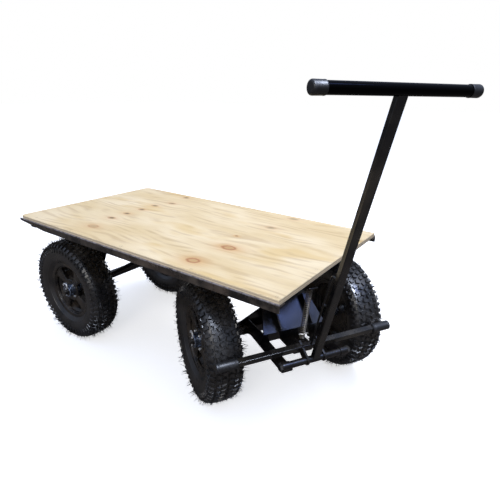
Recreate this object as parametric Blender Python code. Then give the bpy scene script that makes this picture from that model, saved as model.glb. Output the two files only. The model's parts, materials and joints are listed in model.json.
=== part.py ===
"""Platform cart: a plywood deck on a steel frame, four air-filled wheels, a steered front
carriage on a turntable, and a tow handle whose bar brakes the front tyres.

Metres, +Z up. X points to the front of the cart, Y to its left side.
"""
import math

import bmesh
import bpy
from mathutils import Matrix, Vector

# Clearances
GAP = 0.0003
RUNNING_GAP = 0.0005
OVERRUN = 0.005

# Deck and frame
DECK_LENGTH = 1.182
DECK_WIDTH = 0.645
DECK_TOP = 0.482
DECK_THICKNESS = 0.015
DECK_EDGE_ROUND = 0.001
DECK_REAR_CORNER = 0.020
RAIL_HEIGHT = 0.024
RAIL_WALL = 0.003
RAIL_SHELF = 0.025
RAIL_BELOW_TOP = 0.010
RAIL_PAST_FRONT = 0.003
RAIL_END_CUT = 0.160
RAIL_END_HEIGHT = 0.0088
CROSS_WIDTH = 0.030
CROSS_WALL = 0.002
END_ANGLE_WALL = 0.003
END_ANGLE_SETBACK = 0.005

# Wheels
WHEEL_RADIUS = 0.200
TYRE_WIDTH = 0.106
TYRE_WALL = 0.010
WHEEL_TRACK = 0.500
RIM_RADIUS = 0.115
RIM_WIDTH = 0.068
RIM_SEAT_RADIUS = 0.1015
RIM_WELL_RADIUS = 0.090
RIM_SHEET = 0.0025
RIM_DISC_OFFSET = 0.026
RIM_WEB_OFFSET = 0.004
RIM_WINDOWS = 4
RIM_WINDOW_INNER = 0.043
RIM_WINDOW_OUTER = 0.088
RIM_WINDOW_ANGLE = 54
RIM_WINDOW_START = -7
HUB_RADIUS = 0.0240
HUB_LENGTH = 0.090
HUB_FLANGE_RADIUS = 0.037
HUB_FLANGE_THICKNESS = 0.004
BEARING_RADIUS = 0.0175
HUB_FACE_STEP = 0.002
HUB_END_PLAY = 0.001
SHAFT_RADIUS = 0.010
STUB_IN_BEAM = 0.120
SHAFT_PAST_PIN = 0.007
PIN_RADIUS = 0.0022
PIN_PAST_SHAFT = 0.006
EYE_RADIUS = 0.0115
EYE_WIRE_RADIUS = 0.0021

# Rear axle
REAR_AXLE_SETBACK = 0.201
BEAM_SIZE = 0.025
BEAM_WALL = 0.002
HANGER_THICKNESS = 0.004
HANGER_FROM_BRACE = 0.004
HANGER_FOOT = 0.030
HANGER_TOP = 0.270
REAR_CROSS_SPREAD = 0.118
BRACE_FROM_TYRE = 0.032
BRACE_RADIUS = 0.008
BRACE_TOP_SETBACK = 0.345
BRACE_SIDES = 12

# Front carriage, measured from the king pin
KING_PIN_SETBACK = 0.201
KING_PIN_RADIUS = 0.008
KING_HEAD_RADIUS = 0.014
KING_HEAD_HEIGHT = 0.010
KING_NUT_RADIUS = 0.011
KING_NUT_HEIGHT = 0.012
BOLSTER_SPREAD = 0.080
TURNTABLE_PLATE = 0.005
TURNTABLE_TOP_WIDTH = 0.200
TURNTABLE_TOP_LENGTH = 0.210
TURNTABLE_RADIUS = 0.100
RACE_RADIUS = 0.094
RACE_BORE_RADIUS = 0.066
RACE_HEIGHT = 0.014
TONGUE_FORWARD = 0.216
TONGUE_WIDTH = 0.030
POST_RADIUS = 0.0125
GUSSET_THICKNESS = 0.005
GUSSET_FOOT_WIDTH = 0.290
GUSSET_TOP_WIDTH = 0.040
GUSSET_UP = 0.065
SADDLE_THICKNESS = 0.004
SADDLE_FOOT_FORWARD = 0.103
SADDLE_FOLD_FORWARD = 0.130
SADDLE_FOLD_UP = 0.046
SADDLE_TOP_FORWARD = 0.058
SADDLE_TOP_UP = 0.118
SADDLE_TOP_BACK = 0.030
SADDLE_FOOT_WIDTH = 0.218
SADDLE_TOP_WIDTH = 0.170
CHEEK_BACK_UP = 0.038
RIB_SIDE = 0.055
RIB_THICKNESS = 0.005
RIB_HEIGHT = 0.022
ARM_THICKNESS = 0.008
ARM_INNER = 0.075
ARM_OUTER = 0.110
ARM_ROOT_ROUND = 0.028
ARM_TIP_MARGIN = 0.003
HINGE_FORWARD = 0.249
TONGUE_BAR_WIDTH = 0.066
TONGUE_BAR_FORWARD = 0.185
KNUCKLE_RADIUS = 0.0125
KNUCKLE_WELD = 0.001
KNUCKLE_LENGTH = 0.024
HINGE_BOLT_RADIUS = 0.0060
HINGE_HEAD_RADIUS = 0.0115
HINGE_HEAD_HEIGHT = 0.008
SPRING_RADIUS = 0.0078
SPRING_WIRE_RADIUS = 0.0013
SPRING_CURLS = 29
SPRING_END_CURLS = 1.5
SPRING_END_PITCH = 0.0034
SPRING_TOP_FORWARD = 0.197
SPRING_FOOT_FORWARD = 0.172
SEAT_THICKNESS = 0.005
SEAT_WIDTH = 0.026
SEAT_REACH = 0.013
SEAT_HEIGHT = 0.2385

# Handle, measured from the hinge along and across the stem
HANDLE_LENGTH = 0.7627
BARREL_RADIUS = 0.0105
STEM_WIDTH = 0.025
STEM_DEPTH = 0.016
STEM_EDGE_ROUND = 0.002
TBAR_LENGTH = 0.412
TBAR_RADIUS = 0.0122
CAP_RADIUS = 0.0136
CAP_LENGTH = 0.030
CAP_WALL = 0.002
BAR_SIZE = 0.019
BAR_LENGTH = 0.592
BAR_EDGE_ROUND = 0.0015
SLEEVE_RADIUS = 0.0145
SLEEVE_LENGTH = 0.064
PAD_CLEARANCE = 0.003
LUG_THICKNESS = 0.006
LUG_FROM_STEM = 0.013
LUG_MARGIN = 0.004
STAY_RADIUS = 0.0028
STAY_HEIGHT = 0.287
STAY_BEND = 0.010

# Pose in which the cart stands
STEER_ANGLE = math.radians(-30.3)
HANDLE_TILT = math.radians(15.9)
BAR_RISE = math.radians(10.7)

WHEEL_SEGMENTS = 28
ROUND_SEGMENTS = 16
EYE_SEGMENTS = 12
WIRE_SEGMENTS = 6
CURL_POINTS = 8

# Heights that follow from the sizes above
DECK_BOTTOM = DECK_TOP - DECK_THICKNESS
RAIL_TOP = DECK_TOP - RAIL_BELOW_TOP
RAIL_BOTTOM = RAIL_TOP - RAIL_HEIGHT
RAIL_INNER = DECK_WIDTH / 2 + GAP
RAIL_OUTER = RAIL_INNER + RAIL_WALL
SHELF_TOP = DECK_BOTTOM - GAP
SHELF_BOTTOM = SHELF_TOP - RAIL_WALL
CROSS_TOP = SHELF_BOTTOM - GAP
CROSS_BOTTOM = RAIL_BOTTOM
CROSS_HALF = RAIL_INNER - GAP
PLATE_TOP = CROSS_BOTTOM - GAP
PLATE_BOTTOM = PLATE_TOP - TURNTABLE_PLATE
RACE_TOP = PLATE_BOTTOM - GAP
RACE_BOTTOM = RACE_TOP - RACE_HEIGHT
TABLE_TOP = RACE_BOTTOM - GAP
TABLE_BOTTOM = TABLE_TOP - TURNTABLE_PLATE
POST_TOP = TABLE_BOTTOM - GAP
BEAM_TOP = WHEEL_RADIUS + BEAM_SIZE / 2
BEAM_BOTTOM = WHEEL_RADIUS - BEAM_SIZE / 2
POST_BOTTOM = BEAM_TOP + GAP
BEAM_HALF = WHEEL_TRACK / 2 - HUB_LENGTH / 2 - HUB_END_PLAY
ARM_TOP = WHEEL_RADIUS + ARM_THICKNESS / 2
ARM_BOTTOM = WHEEL_RADIUS - ARM_THICKNESS / 2
SADDLE_FOOT = ARM_TOP + GAP
HINGE_HEIGHT = ARM_TOP + KNUCKLE_RADIUS - KNUCKLE_WELD
KNUCKLE_INNER = ARM_OUTER - KNUCKLE_LENGTH
BARREL_HALF = KNUCKLE_INNER - GAP
BOLT_HALF = ARM_OUTER + GAP
BORE_RADIUS = HINGE_BOLT_RADIUS + RUNNING_GAP
SHAFT_BORE_RADIUS = SHAFT_RADIUS + RUNNING_GAP
PIN_OUT = WHEEL_TRACK / 2 + HUB_LENGTH / 2 + HUB_END_PLAY + PIN_RADIUS
SHAFT_OUT = PIN_OUT + PIN_RADIUS + SHAFT_PAST_PIN
EYE_UP = SHAFT_RADIUS + PIN_RADIUS + EYE_RADIUS
REAR_AXLE_X = REAR_AXLE_SETBACK - DECK_LENGTH / 2
KING_PIN_FORWARD = DECK_LENGTH / 2 - KING_PIN_SETBACK
BRACE_TOP_X = KING_PIN_FORWARD - BRACE_TOP_SETBACK
BRACE_SIDE = WHEEL_TRACK / 2 - TYRE_WIDTH / 2 - BRACE_FROM_TYRE
HANGER_SIDE = BRACE_SIDE - BRACE_RADIUS - HANGER_FROM_BRACE - HANGER_THICKNESS


def clear_scene():
    """Remove whatever the open file holds."""
    for thing in list(bpy.data.objects):
        bpy.data.objects.remove(thing, do_unlink=True)


def paint(name, colour, roughness, metallic):
    """A plain Principled material."""
    material = bpy.data.materials.new(name)
    material.use_nodes = True
    shader = material.node_tree.nodes["Principled BSDF"]
    shader.inputs["Base Color"].default_value = (*colour, 1)
    shader.inputs["Roughness"].default_value = roughness
    shader.inputs["Metallic"].default_value = metallic
    material.diffuse_color = (*colour, 1)
    return material


def black_paint(name):
    """Glossy black enamel on steel."""
    return paint(name, (0.018, 0.018, 0.020), 0.28, 0.0)


def plywood(name):
    """Pale pine plywood."""
    return paint(name, (0.80, 0.65, 0.42), 0.55, 0.0)


def zinc(name):
    """Bright zinc-plated steel."""
    return paint(name, (0.62, 0.65, 0.70), 0.30, 0.9)


def tyre_rubber(name):
    """Black tyre rubber."""
    return paint(name, (0.022, 0.022, 0.023), 0.62, 0.0)


def sleeve_rubber(name):
    """Black hose rubber of the brake sleeves."""
    return paint(name, (0.030, 0.030, 0.032), 0.55, 0.0)


def cap_plastic(name):
    """Black plastic of the handle's end caps."""
    return paint(name, (0.030, 0.030, 0.034), 0.35, 0.0)


def empty(name, parent=None, place=(0, 0, 0)):
    """An empty that carries one moving body."""
    holder = bpy.data.objects.new(name, None)
    bpy.context.scene.collection.objects.link(holder)
    holder.parent = parent
    holder.location = place
    return holder


def finish(name, mesh_data, finish_of, parent):
    """Close a bmesh into a named object with its own material."""
    bmesh.ops.recalc_face_normals(mesh_data, faces=mesh_data.faces)
    mesh = bpy.data.meshes.new(name)
    mesh_data.to_mesh(mesh)
    mesh_data.free()
    piece = bpy.data.objects.new(name, mesh)
    bpy.context.scene.collection.objects.link(piece)
    piece.parent = parent
    mesh.materials.append(finish_of(name + "_finish"))
    return piece


def smooth(piece, angle=math.radians(40)):
    """Shade round faces smooth and keep the sharp edges."""
    piece.data.shade_smooth()
    piece.data.set_sharp_from_angle(angle=angle)


def add_prism(mesh_data, outline, low, high, plane):
    """Add an outline, drawn in a plane, that is extruded between two levels of the third axis."""
    place = {
        "XY": lambda a, b, c: (a, b, c),
        "XZ": lambda a, b, c: (a, c, b),
        "YZ": lambda a, b, c: (c, a, b),
    }[plane]
    corners = [mesh_data.verts.new(place(a, b, low)) for a, b in outline]
    face = mesh_data.faces.new(corners)
    grown = bmesh.ops.extrude_face_region(mesh_data, geom=[face])["geom"]
    moved = [part for part in grown if isinstance(part, bmesh.types.BMVert)]
    bmesh.ops.translate(mesh_data, verts=moved, vec=Vector(place(0, 0, high - low)))


def add_turned(mesh_data, profile, segments, place=(0, 0, 0), half_step=False):
    """Add a closed profile of (radius, distance along Y) that is spun about the Y axis."""
    corners = [mesh_data.verts.new((radius, along, 0)) for radius, along in profile]
    pairs = zip(corners, corners[1:] + corners[:1])
    edges = [mesh_data.edges.new(pair) for pair in pairs if len({c.co[0] for c in pair} | {0}) > 1]
    bmesh.ops.spin(
        mesh_data, geom=corners + edges, axis=(0, 1, 0), cent=(0, 0, 0),
        angle=2 * math.pi, steps=segments, use_merge=True)
    fresh = list(reached(corners))
    if half_step:
        turn = Matrix.Rotation(math.pi / segments, 3, "Y")
        bmesh.ops.rotate(mesh_data, verts=fresh, cent=(0, 0, 0), matrix=turn)
    bmesh.ops.translate(mesh_data, verts=fresh, vec=Vector(place))
    bmesh.ops.remove_doubles(mesh_data, verts=fresh, dist=GAP / 100)


def reached(corners):
    """All vertices joined to the given ones by edges."""
    seen = set(corners)
    front = list(corners)
    while front:
        corner = front.pop()
        for edge in corner.link_edges:
            other = edge.other_vert(corner)
            if other not in seen:
                seen.add(other)
                front.append(other)
    return seen


def prism(name, outline, low, high, plane, finish_of, parent):
    """A named piece cut from plate or bar."""
    mesh_data = bmesh.new()
    add_prism(mesh_data, outline, low, high, plane)
    return finish(name, mesh_data, finish_of, parent)


def turned(name, profile, segments, finish_of, parent, half_step=False):
    """A named turned piece about the parent's Y axis."""
    mesh_data = bmesh.new()
    add_turned(mesh_data, profile, segments, half_step=half_step)
    piece = finish(name, mesh_data, finish_of, parent)
    smooth(piece)
    return piece


def rectangle(centre_a, centre_b, size_a, size_b):
    """Corners of a rectangle."""
    half_a = size_a / 2
    half_b = size_b / 2
    return [
        (centre_a - half_a, centre_b - half_b),
        (centre_a + half_a, centre_b - half_b),
        (centre_a + half_a, centre_b + half_b),
        (centre_a - half_a, centre_b + half_b),
    ]


def disc(radius, low, high):
    """Profile of a solid round bar between two distances."""
    return [(0, low), (radius, low), (radius, high), (0, high)]


def tube_profile(outer, inner, low, high):
    """Profile of a round tube between two distances."""
    return [(inner, low), (outer, low), (outer, high), (inner, high)]


def arc(centre_a, centre_b, radius, start, stop, steps):
    """Points along an arc, angles in degrees."""
    angles = [math.radians(start + (stop - start) * step / steps) for step in range(steps + 1)]
    return [(centre_a + radius * math.cos(a), centre_b + radius * math.sin(a)) for a in angles]


def mirrored(outline):
    """The same outline on the other side of the second axis' zero."""
    return [(a, -b) for a, b in reversed(outline)]


def bevel(piece, width):
    """Round the sharp edges of a piece."""
    rounding = piece.modifiers.new("edges", "BEVEL")
    rounding.width = width
    rounding.segments = 1
    rounding.limit_method = "ANGLE"
    rounding.angle_limit = math.radians(50)


def combine(piece, other, operation):
    """Cut another shape away from a piece, join it on, or keep what both share."""
    other.hide_render = True
    other.display_type = "WIRE"
    boolean = piece.modifiers.new(other.name, "BOOLEAN")
    boolean.operation = operation
    boolean.solver = "EXACT"
    boolean.object = other


def apply_shapes(piece):
    """Bake a piece's modifiers into its mesh and remove the shapes that they used."""
    others = [m.object for m in piece.modifiers if m.type == "BOOLEAN"]
    bpy.context.view_layer.update()
    evaluated = piece.evaluated_get(bpy.context.evaluated_depsgraph_get())
    mesh = bpy.data.meshes.new_from_object(evaluated)
    piece.modifiers.clear()
    piece.data = mesh
    for other in others:
        bpy.data.objects.remove(other, do_unlink=True)


def square_tube(name, size_a, size_b, wall, half, plane, centre, finish_of, parent):
    """A hollow rectangular tube, open at both ends, centred on a point of its section."""
    mesh_data = bmesh.new()
    outer = rectangle(*centre, size_a, size_b)
    inner = rectangle(*centre, size_a - 2 * wall, size_b - 2 * wall)
    place = {"XZ": lambda a, b, c: (a, c, b), "YZ": lambda a, b, c: (c, a, b)}[plane]
    rings = []
    for outline in (outer, inner):
        for level in (-half, half):
            rings.append([mesh_data.verts.new(place(a, b, level)) for a, b in outline])
    outer_low, outer_high, inner_low, inner_high = rings
    joined = (
        (outer_low, outer_high), (outer_high, inner_high), (inner_high, inner_low), (inner_low, outer_low))
    for first, second in joined:
        for corner in range(len(outer)):
            after = (corner + 1) % len(outer)
            mesh_data.faces.new((first[corner], first[after], second[after], second[corner]))
    return finish(name, mesh_data, finish_of, parent)


def deck_outline():
    """Deck seen from above, with rounded rear corners."""
    half_x = DECK_LENGTH / 2
    half_y = DECK_WIDTH / 2
    round_x = -half_x + DECK_REAR_CORNER
    round_y = half_y - DECK_REAR_CORNER
    front = [(half_x, -half_y), (half_x, half_y)]
    left = arc(round_x, round_y, DECK_REAR_CORNER, 90, 180, 4)
    right = arc(round_x, -round_y, DECK_REAR_CORNER, 180, 270, 4)
    return front + left + right


def vertical_rods(name, places, radius, low, high, segments=ROUND_SEGMENTS):
    """One cutter of upright rods."""
    mesh_data = bmesh.new()
    for along, side in places:
        outline = arc(along, side, radius, 0, 360 - 360 / segments, segments - 1)
        add_prism(mesh_data, outline, low, high, "XY")
    return finish(name, mesh_data, zinc, None)


def build_deck(root):
    """The plywood panel."""
    panel = prism("deck_panel", deck_outline(), DECK_BOTTOM, DECK_TOP, "XY", plywood, root)
    bevel(panel, DECK_EDGE_ROUND)


def build_rails(root):
    """Two side rails of T section, with an upright web outside the deck and a shelf under it.

    The web's rear end is cut on a slant.
    """
    low = -DECK_LENGTH / 2
    high = DECK_LENGTH / 2 + RAIL_PAST_FRONT
    for side, sign in (("left", 1), ("right", -1)):
        outline = [
            (RAIL_INNER, RAIL_BOTTOM), (RAIL_OUTER, RAIL_BOTTOM), (RAIL_OUTER, RAIL_TOP),
            (RAIL_INNER, RAIL_TOP), (RAIL_INNER, SHELF_TOP), (RAIL_INNER - RAIL_SHELF, SHELF_TOP),
            (RAIL_INNER - RAIL_SHELF, SHELF_BOTTOM), (RAIL_INNER, SHELF_BOTTOM),
        ]
        placed = [(sign * side_out, height) for side_out, height in outline]
        rail = prism("rail_" + side, placed, low, high, "YZ", black_paint, root)
        wedge = [
            (low - RAIL_END_CUT, RAIL_BOTTOM - RAIL_HEIGHT), (low + RAIL_END_CUT, RAIL_BOTTOM),
            (low, RAIL_TOP - RAIL_END_HEIGHT),
            (low - RAIL_END_CUT, RAIL_TOP - RAIL_END_HEIGHT),
        ]
        waste = prism(
            "rail_waste_" + side, wedge, -RAIL_OUTER - OVERRUN, RAIL_OUTER + OVERRUN, "XZ", black_paint, root)
        combine(rail, waste, "DIFFERENCE")
        apply_shapes(rail)


def stand_up(mesh_data):
    """Turn what was made along +Y to stand along +Z."""
    turn = Matrix.Rotation(math.pi / 2, 3, "X")
    bmesh.ops.rotate(mesh_data, verts=mesh_data.verts, cent=(0, 0, 0), matrix=turn)


def cross_places():
    """Names and places of the cross members."""
    return (
        ("cross_rear", REAR_AXLE_X - REAR_CROSS_SPREAD),
        ("cross_rear_inner", REAR_AXLE_X + REAR_CROSS_SPREAD),
        ("cross_middle", BRACE_TOP_X),
        ("cross_front_inner", KING_PIN_FORWARD - BOLSTER_SPREAD),
        ("cross_front", KING_PIN_FORWARD + BOLSTER_SPREAD),
    )


def build_crosses(root):
    """Cross members of flat rectangular tube between the rails, under their shelves."""
    height = CROSS_TOP - CROSS_BOTTOM
    middle = (CROSS_TOP + CROSS_BOTTOM) / 2
    for name, along in cross_places():
        square_tube(
            name, CROSS_WIDTH, height, CROSS_WALL, CROSS_HALF, "XZ", (along, middle), black_paint, root)
    front = DECK_LENGTH / 2 - END_ANGLE_SETBACK
    wall = END_ANGLE_WALL
    outline = [
        (front, CROSS_TOP), (front - CROSS_WIDTH, CROSS_TOP), (front - CROSS_WIDTH, CROSS_BOTTOM),
        (front - CROSS_WIDTH + wall, CROSS_BOTTOM), (front - CROSS_WIDTH + wall, CROSS_TOP - wall),
        (front, CROSS_TOP - wall),
    ]
    prism("cross_front_end", outline, -CROSS_HALF, CROSS_HALF, "XZ", black_paint, root)


def build_turntable_top(root):
    """The turntable's fixed plate and the king pin that hangs through it."""
    plate = prism(
        "turntable_upper_plate", rectangle(KING_PIN_FORWARD, 0, TURNTABLE_TOP_LENGTH, TURNTABLE_TOP_WIDTH),
        PLATE_BOTTOM, PLATE_TOP, "XY", black_paint, root)
    hole = vertical_rods(
        "upper_plate_hole", [(KING_PIN_FORWARD, 0)], KING_PIN_RADIUS + RUNNING_GAP,
        PLATE_BOTTOM - OVERRUN, PLATE_TOP + OVERRUN)
    combine(plate, hole, "DIFFERENCE")
    apply_shapes(plate)
    head_low = PLATE_TOP + GAP
    nut_high = BEAM_BOTTOM - GAP
    nut_low = nut_high - KING_NUT_HEIGHT
    tip = nut_low - KING_PIN_RADIUS
    profile = [
        (0, tip), (KING_PIN_RADIUS, tip), (KING_PIN_RADIUS, nut_low), (KING_NUT_RADIUS, nut_low),
        (KING_NUT_RADIUS, nut_high), (KING_PIN_RADIUS, nut_high), (KING_PIN_RADIUS, head_low),
        (KING_HEAD_RADIUS, head_low), (KING_HEAD_RADIUS, head_low + KING_HEAD_HEIGHT),
        (0, head_low + KING_HEAD_HEIGHT),
    ]
    mesh_data = bmesh.new()
    add_turned(mesh_data, profile, ROUND_SEGMENTS)
    stand_up(mesh_data)
    bmesh.ops.translate(mesh_data, verts=mesh_data.verts, vec=Vector((KING_PIN_FORWARD, 0, 0)))
    piece = finish("king_pin", mesh_data, zinc, root)
    smooth(piece)


def build_beam(name, along, parent, with_pin_hole):
    """A square axle tube."""
    beam = square_tube(
        name + "_beam", BEAM_SIZE, BEAM_SIZE, BEAM_WALL, BEAM_HALF, "XZ", (along, WHEEL_RADIUS),
        black_paint, parent)
    if with_pin_hole:
        hole = vertical_rods(
            name + "_hole", [(along, 0)], KING_PIN_RADIUS + RUNNING_GAP,
            BEAM_BOTTOM - OVERRUN, BEAM_TOP + OVERRUN)
        hole.parent = parent
        combine(beam, hole, "DIFFERENCE")
        apply_shapes(beam)


def build_shaft(name, ends, along, parent):
    """A round axle bar with a cross hole for each pin."""
    mesh_data = bmesh.new()
    add_turned(mesh_data, disc(SHAFT_RADIUS, *sorted(ends)), ROUND_SEGMENTS, (along, 0, WHEEL_RADIUS))
    shaft = finish(name, mesh_data, zinc, parent)
    outs = [end for end in ends if abs(end) == SHAFT_OUT]
    places = [(along, math.copysign(PIN_OUT, end)) for end in outs]
    hole = vertical_rods(
        name + "_holes", places, PIN_RADIUS + RUNNING_GAP, WHEEL_RADIUS - 2 * SHAFT_RADIUS,
        WHEEL_RADIUS + 2 * SHAFT_RADIUS, segments=8)
    hole.parent = parent
    combine(shaft, hole, "DIFFERENCE")
    apply_shapes(shaft)
    smooth(shaft)


def build_pin(name, along, sign, parent):
    """An upright split pin through the axle bar, with its eye above."""
    foot = -SHAFT_RADIUS - PIN_PAST_SHAFT
    pin = bmesh.new()
    add_turned(pin, disc(PIN_RADIUS, foot, EYE_UP - EYE_RADIUS + EYE_WIRE_RADIUS), 8)
    stand_up(pin)
    place = Vector((along, sign * PIN_OUT, WHEEL_RADIUS))
    bmesh.ops.translate(pin, verts=pin.verts, vec=place)
    piece = finish(name, pin, zinc, parent)
    step = 360 / WIRE_SEGMENTS
    wire = arc(EYE_RADIUS, 0, EYE_WIRE_RADIUS, 0, 360 - step, WIRE_SEGMENTS - 1)
    eye = bmesh.new()
    add_turned(eye, wire, EYE_SEGMENTS, place + Vector((0, 0, EYE_UP)))
    combine(piece, finish(name + "_eye", eye, zinc, parent), "UNION")
    apply_shapes(piece)
    smooth(piece)


def build_axle_ends(root, steering):
    """The rear axle's through bar, the front axle's two stubs, and their split pins."""
    build_shaft("rear_axle_shaft", (-SHAFT_OUT, SHAFT_OUT), REAR_AXLE_X, root)
    inner = BEAM_HALF - STUB_IN_BEAM
    for side, sign in (("left", 1), ("right", -1)):
        build_shaft("front_axle_stub_" + side, (sign * inner, sign * SHAFT_OUT), 0, steering)
        build_pin("front_axle_pin_" + side, 0, sign, steering)
        build_pin("rear_axle_pin_" + side, REAR_AXLE_X, sign, root)


def build_rear_supports(root):
    """Trapezoid hanger plates from the rear axle up to the cross members, and two brace tubes."""
    foot = BEAM_TOP + GAP
    top = CROSS_BOTTOM - GAP
    outline = [
        (REAR_AXLE_X - HANGER_FOOT / 2, foot), (REAR_AXLE_X + HANGER_FOOT / 2, foot),
        (REAR_AXLE_X + HANGER_TOP / 2, top), (REAR_AXLE_X - HANGER_TOP / 2, top),
    ]
    for side, sign in (("left", 1), ("right", -1)):
        edges = sorted((sign * HANGER_SIDE, sign * (HANGER_SIDE + HANGER_THICKNESS)))
        prism("rear_hanger_" + side, outline, *edges, "XZ", black_paint, root)
        build_brace("brace_" + side, sign, root)


def build_brace(name, sign, root):
    """A round tube from the front of the rear axle up to the middle cross member."""
    low = (REAR_AXLE_X + BEAM_SIZE / 2 + GAP, WHEEL_RADIUS)
    high = (BRACE_TOP_X, CROSS_BOTTOM - GAP)
    run = Vector((high[0] - low[0], 0, high[1] - low[1]))
    mesh_data = bmesh.new()
    add_turned(mesh_data, disc(BRACE_RADIUS, -BEAM_SIZE, run.length + BEAM_SIZE), BRACE_SIDES)
    turn = Vector((0, 1, 0)).rotation_difference(run).to_matrix()
    bmesh.ops.rotate(mesh_data, verts=mesh_data.verts, cent=(0, 0, 0), matrix=turn)
    bmesh.ops.translate(mesh_data, verts=mesh_data.verts, vec=Vector((low[0], sign * BRACE_SIDE, low[1])))
    trim(mesh_data, (low[0], 0, 0), (-1, 0, 0))
    trim(mesh_data, (0, 0, high[1]), (0, 0, 1))
    smooth(finish(name, mesh_data, black_paint, root))


def trim(mesh_data, place, normal):
    """Cut off what lies past a plane and close the cut."""
    geometry = mesh_data.verts[:] + mesh_data.edges[:] + mesh_data.faces[:]
    sliced = bmesh.ops.bisect_plane(
        mesh_data, geom=geometry, plane_co=place, plane_no=normal, clear_outer=True)
    border = [part for part in sliced["geom_cut"] if isinstance(part, bmesh.types.BMEdge)]
    bmesh.ops.contextual_create(mesh_data, geom=border)


def build_carriage(steering):
    """Turntable plate, race, post, saddle and ribs of the steered carriage."""
    half = TONGUE_WIDTH / 2
    leave = math.degrees(math.asin(half / TURNTABLE_RADIUS))
    round_part = arc(0, 0, TURNTABLE_RADIUS, leave, 360 - leave, 28)
    tongue = [(TONGUE_FORWARD, -half), (TONGUE_FORWARD, half)]
    plate = prism(
        "turntable_lower_plate", tongue + round_part, TABLE_BOTTOM, TABLE_TOP, "XY", black_paint, steering)
    hole = vertical_rods(
        "lower_plate_hole", [(0, 0)], KING_PIN_RADIUS + RUNNING_GAP,
        TABLE_BOTTOM - OVERRUN, TABLE_TOP + OVERRUN)
    hole.parent = steering
    combine(plate, hole, "DIFFERENCE")
    apply_shapes(plate)
    upright_tube("turntable_race", RACE_RADIUS, RACE_BORE_RADIUS, RACE_BOTTOM, RACE_TOP, zinc, steering, 32)
    upright_tube(
        "king_post", POST_RADIUS, KING_PIN_RADIUS + RUNNING_GAP, POST_BOTTOM, POST_TOP, black_paint,
        steering, ROUND_SEGMENTS)
    build_gusset(steering)
    build_saddle(steering)
    build_ribs(steering)


def upright_tube(name, outer, inner, low, high, finish_of, parent, segments):
    """A round tube that stands on the parent's Z axis."""
    mesh_data = bmesh.new()
    add_turned(mesh_data, tube_profile(outer, inner, low, high), segments)
    stand_up(mesh_data)
    smooth(finish(name, mesh_data, finish_of, parent))


def saddle_path():
    """The saddle's outer surface seen from the side, from its front foot up and back over the post."""
    return [
        (SADDLE_FOOT_FORWARD, SADDLE_FOOT),
        (SADDLE_FOLD_FORWARD, SADDLE_FOOT + SADDLE_FOLD_UP),
        (SADDLE_TOP_FORWARD, SADDLE_FOOT + SADDLE_TOP_UP),
        (-SADDLE_TOP_BACK, SADDLE_FOOT + SADDLE_TOP_UP),
    ]


def sideways(first, second):
    """Unit normal to the left of a straight run."""
    run = Vector((second[0] - first[0], second[1] - first[1])).normalized()
    return Vector((-run.y, run.x))


def offset_path(path, distance):
    """The path moved to its left, with mitred corners; the first end stays level."""
    normals = [sideways(first, second) for first, second in zip(path, path[1:])]
    moved = [(path[0][0] + distance / normals[0].x, path[0][1])]
    for before, after, point in zip(normals, normals[1:], path[1:]):
        mitre = before + after
        shift = mitre * (distance * 2 / mitre.length_squared)
        moved.append((point[0] + shift.x, point[1] + shift.y))
    moved.append((path[-1][0] + normals[-1].x * distance, path[-1][1] + normals[-1].y * distance))
    return moved


def build_saddle(steering):
    """A bent sheet that slopes from the post down to the drawbar arms, with a cheek on each side."""
    path = saddle_path()
    outline = path + list(reversed(offset_path(path, SADDLE_THICKNESS)))
    half = SADDLE_FOOT_WIDTH / 2
    saddle = prism("carriage_saddle", outline, -half, half, "XZ", black_paint, steering)
    fold = SADDLE_FOOT + SADDLE_FOLD_UP
    top = SADDLE_FOOT + SADDLE_TOP_UP
    narrow = 1 - SADDLE_TOP_WIDTH / SADDLE_FOOT_WIDTH
    for corner in saddle.data.vertices:
        share = max(0, (corner.co[2] - fold) / (top - fold))
        corner.co[1] *= 1 - narrow * share
    start = BEAM_SIZE / 2 + GAP
    (foot_x, foot_z), (fold_x, fold_z) = path[:2]
    skin = SADDLE_THICKNESS / 2
    cheek = [
        (start, foot_z), (foot_x - skin, foot_z), (fold_x - skin, fold_z), (start, foot_z + CHEEK_BACK_UP),
    ]
    for side, sign in (("left", 1), ("right", -1)):
        ends = sorted((sign * half, sign * (half - SADDLE_THICKNESS)))
        plate = prism("saddle_cheek_" + side, cheek, *ends, "XZ", black_paint, steering)
        combine(saddle, plate, "UNION")
    hole = vertical_rods(
        "saddle_hole", [(0, 0)], POST_RADIUS + GAP, SADDLE_FOOT, SADDLE_FOOT + SADDLE_TOP_UP + OVERRUN)
    hole.parent = steering
    combine(saddle, hole, "DIFFERENCE")
    apply_shapes(saddle)


def build_gusset(steering):
    """A plate behind the post and the axle beam that stiffens one against the other."""
    front = -BEAM_SIZE / 2 - GAP
    foot = GUSSET_FOOT_WIDTH / 2
    head = GUSSET_TOP_WIDTH / 2
    outline = [
        (-foot, BEAM_BOTTOM), (foot, BEAM_BOTTOM), (foot, BEAM_TOP), (head, BEAM_TOP + GUSSET_UP),
        (-head, BEAM_TOP + GUSSET_UP), (-foot, BEAM_TOP),
    ]
    prism("carriage_gusset", outline, front - GUSSET_THICKNESS, front, "YZ", black_paint, steering)


def build_ribs(steering):
    """Two flat bars that stand on the saddle's front slope."""
    fold, top = saddle_path()[1:3]
    normal = -sideways(fold, top)
    clear = normal * GAP
    out = normal * (GAP + RIB_HEIGHT)
    outline = [
        (fold[0] + clear.x, fold[1] + clear.y), (fold[0] + out.x, fold[1] + out.y),
        (top[0] + out.x, top[1] + out.y), (top[0] + clear.x, top[1] + clear.y),
    ]
    half = RIB_THICKNESS / 2
    for side, centre in (("left", RIB_SIDE), ("right", -RIB_SIDE)):
        prism("saddle_rib_" + side, outline, centre - half, centre + half, "XZ", black_paint, steering)


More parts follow.
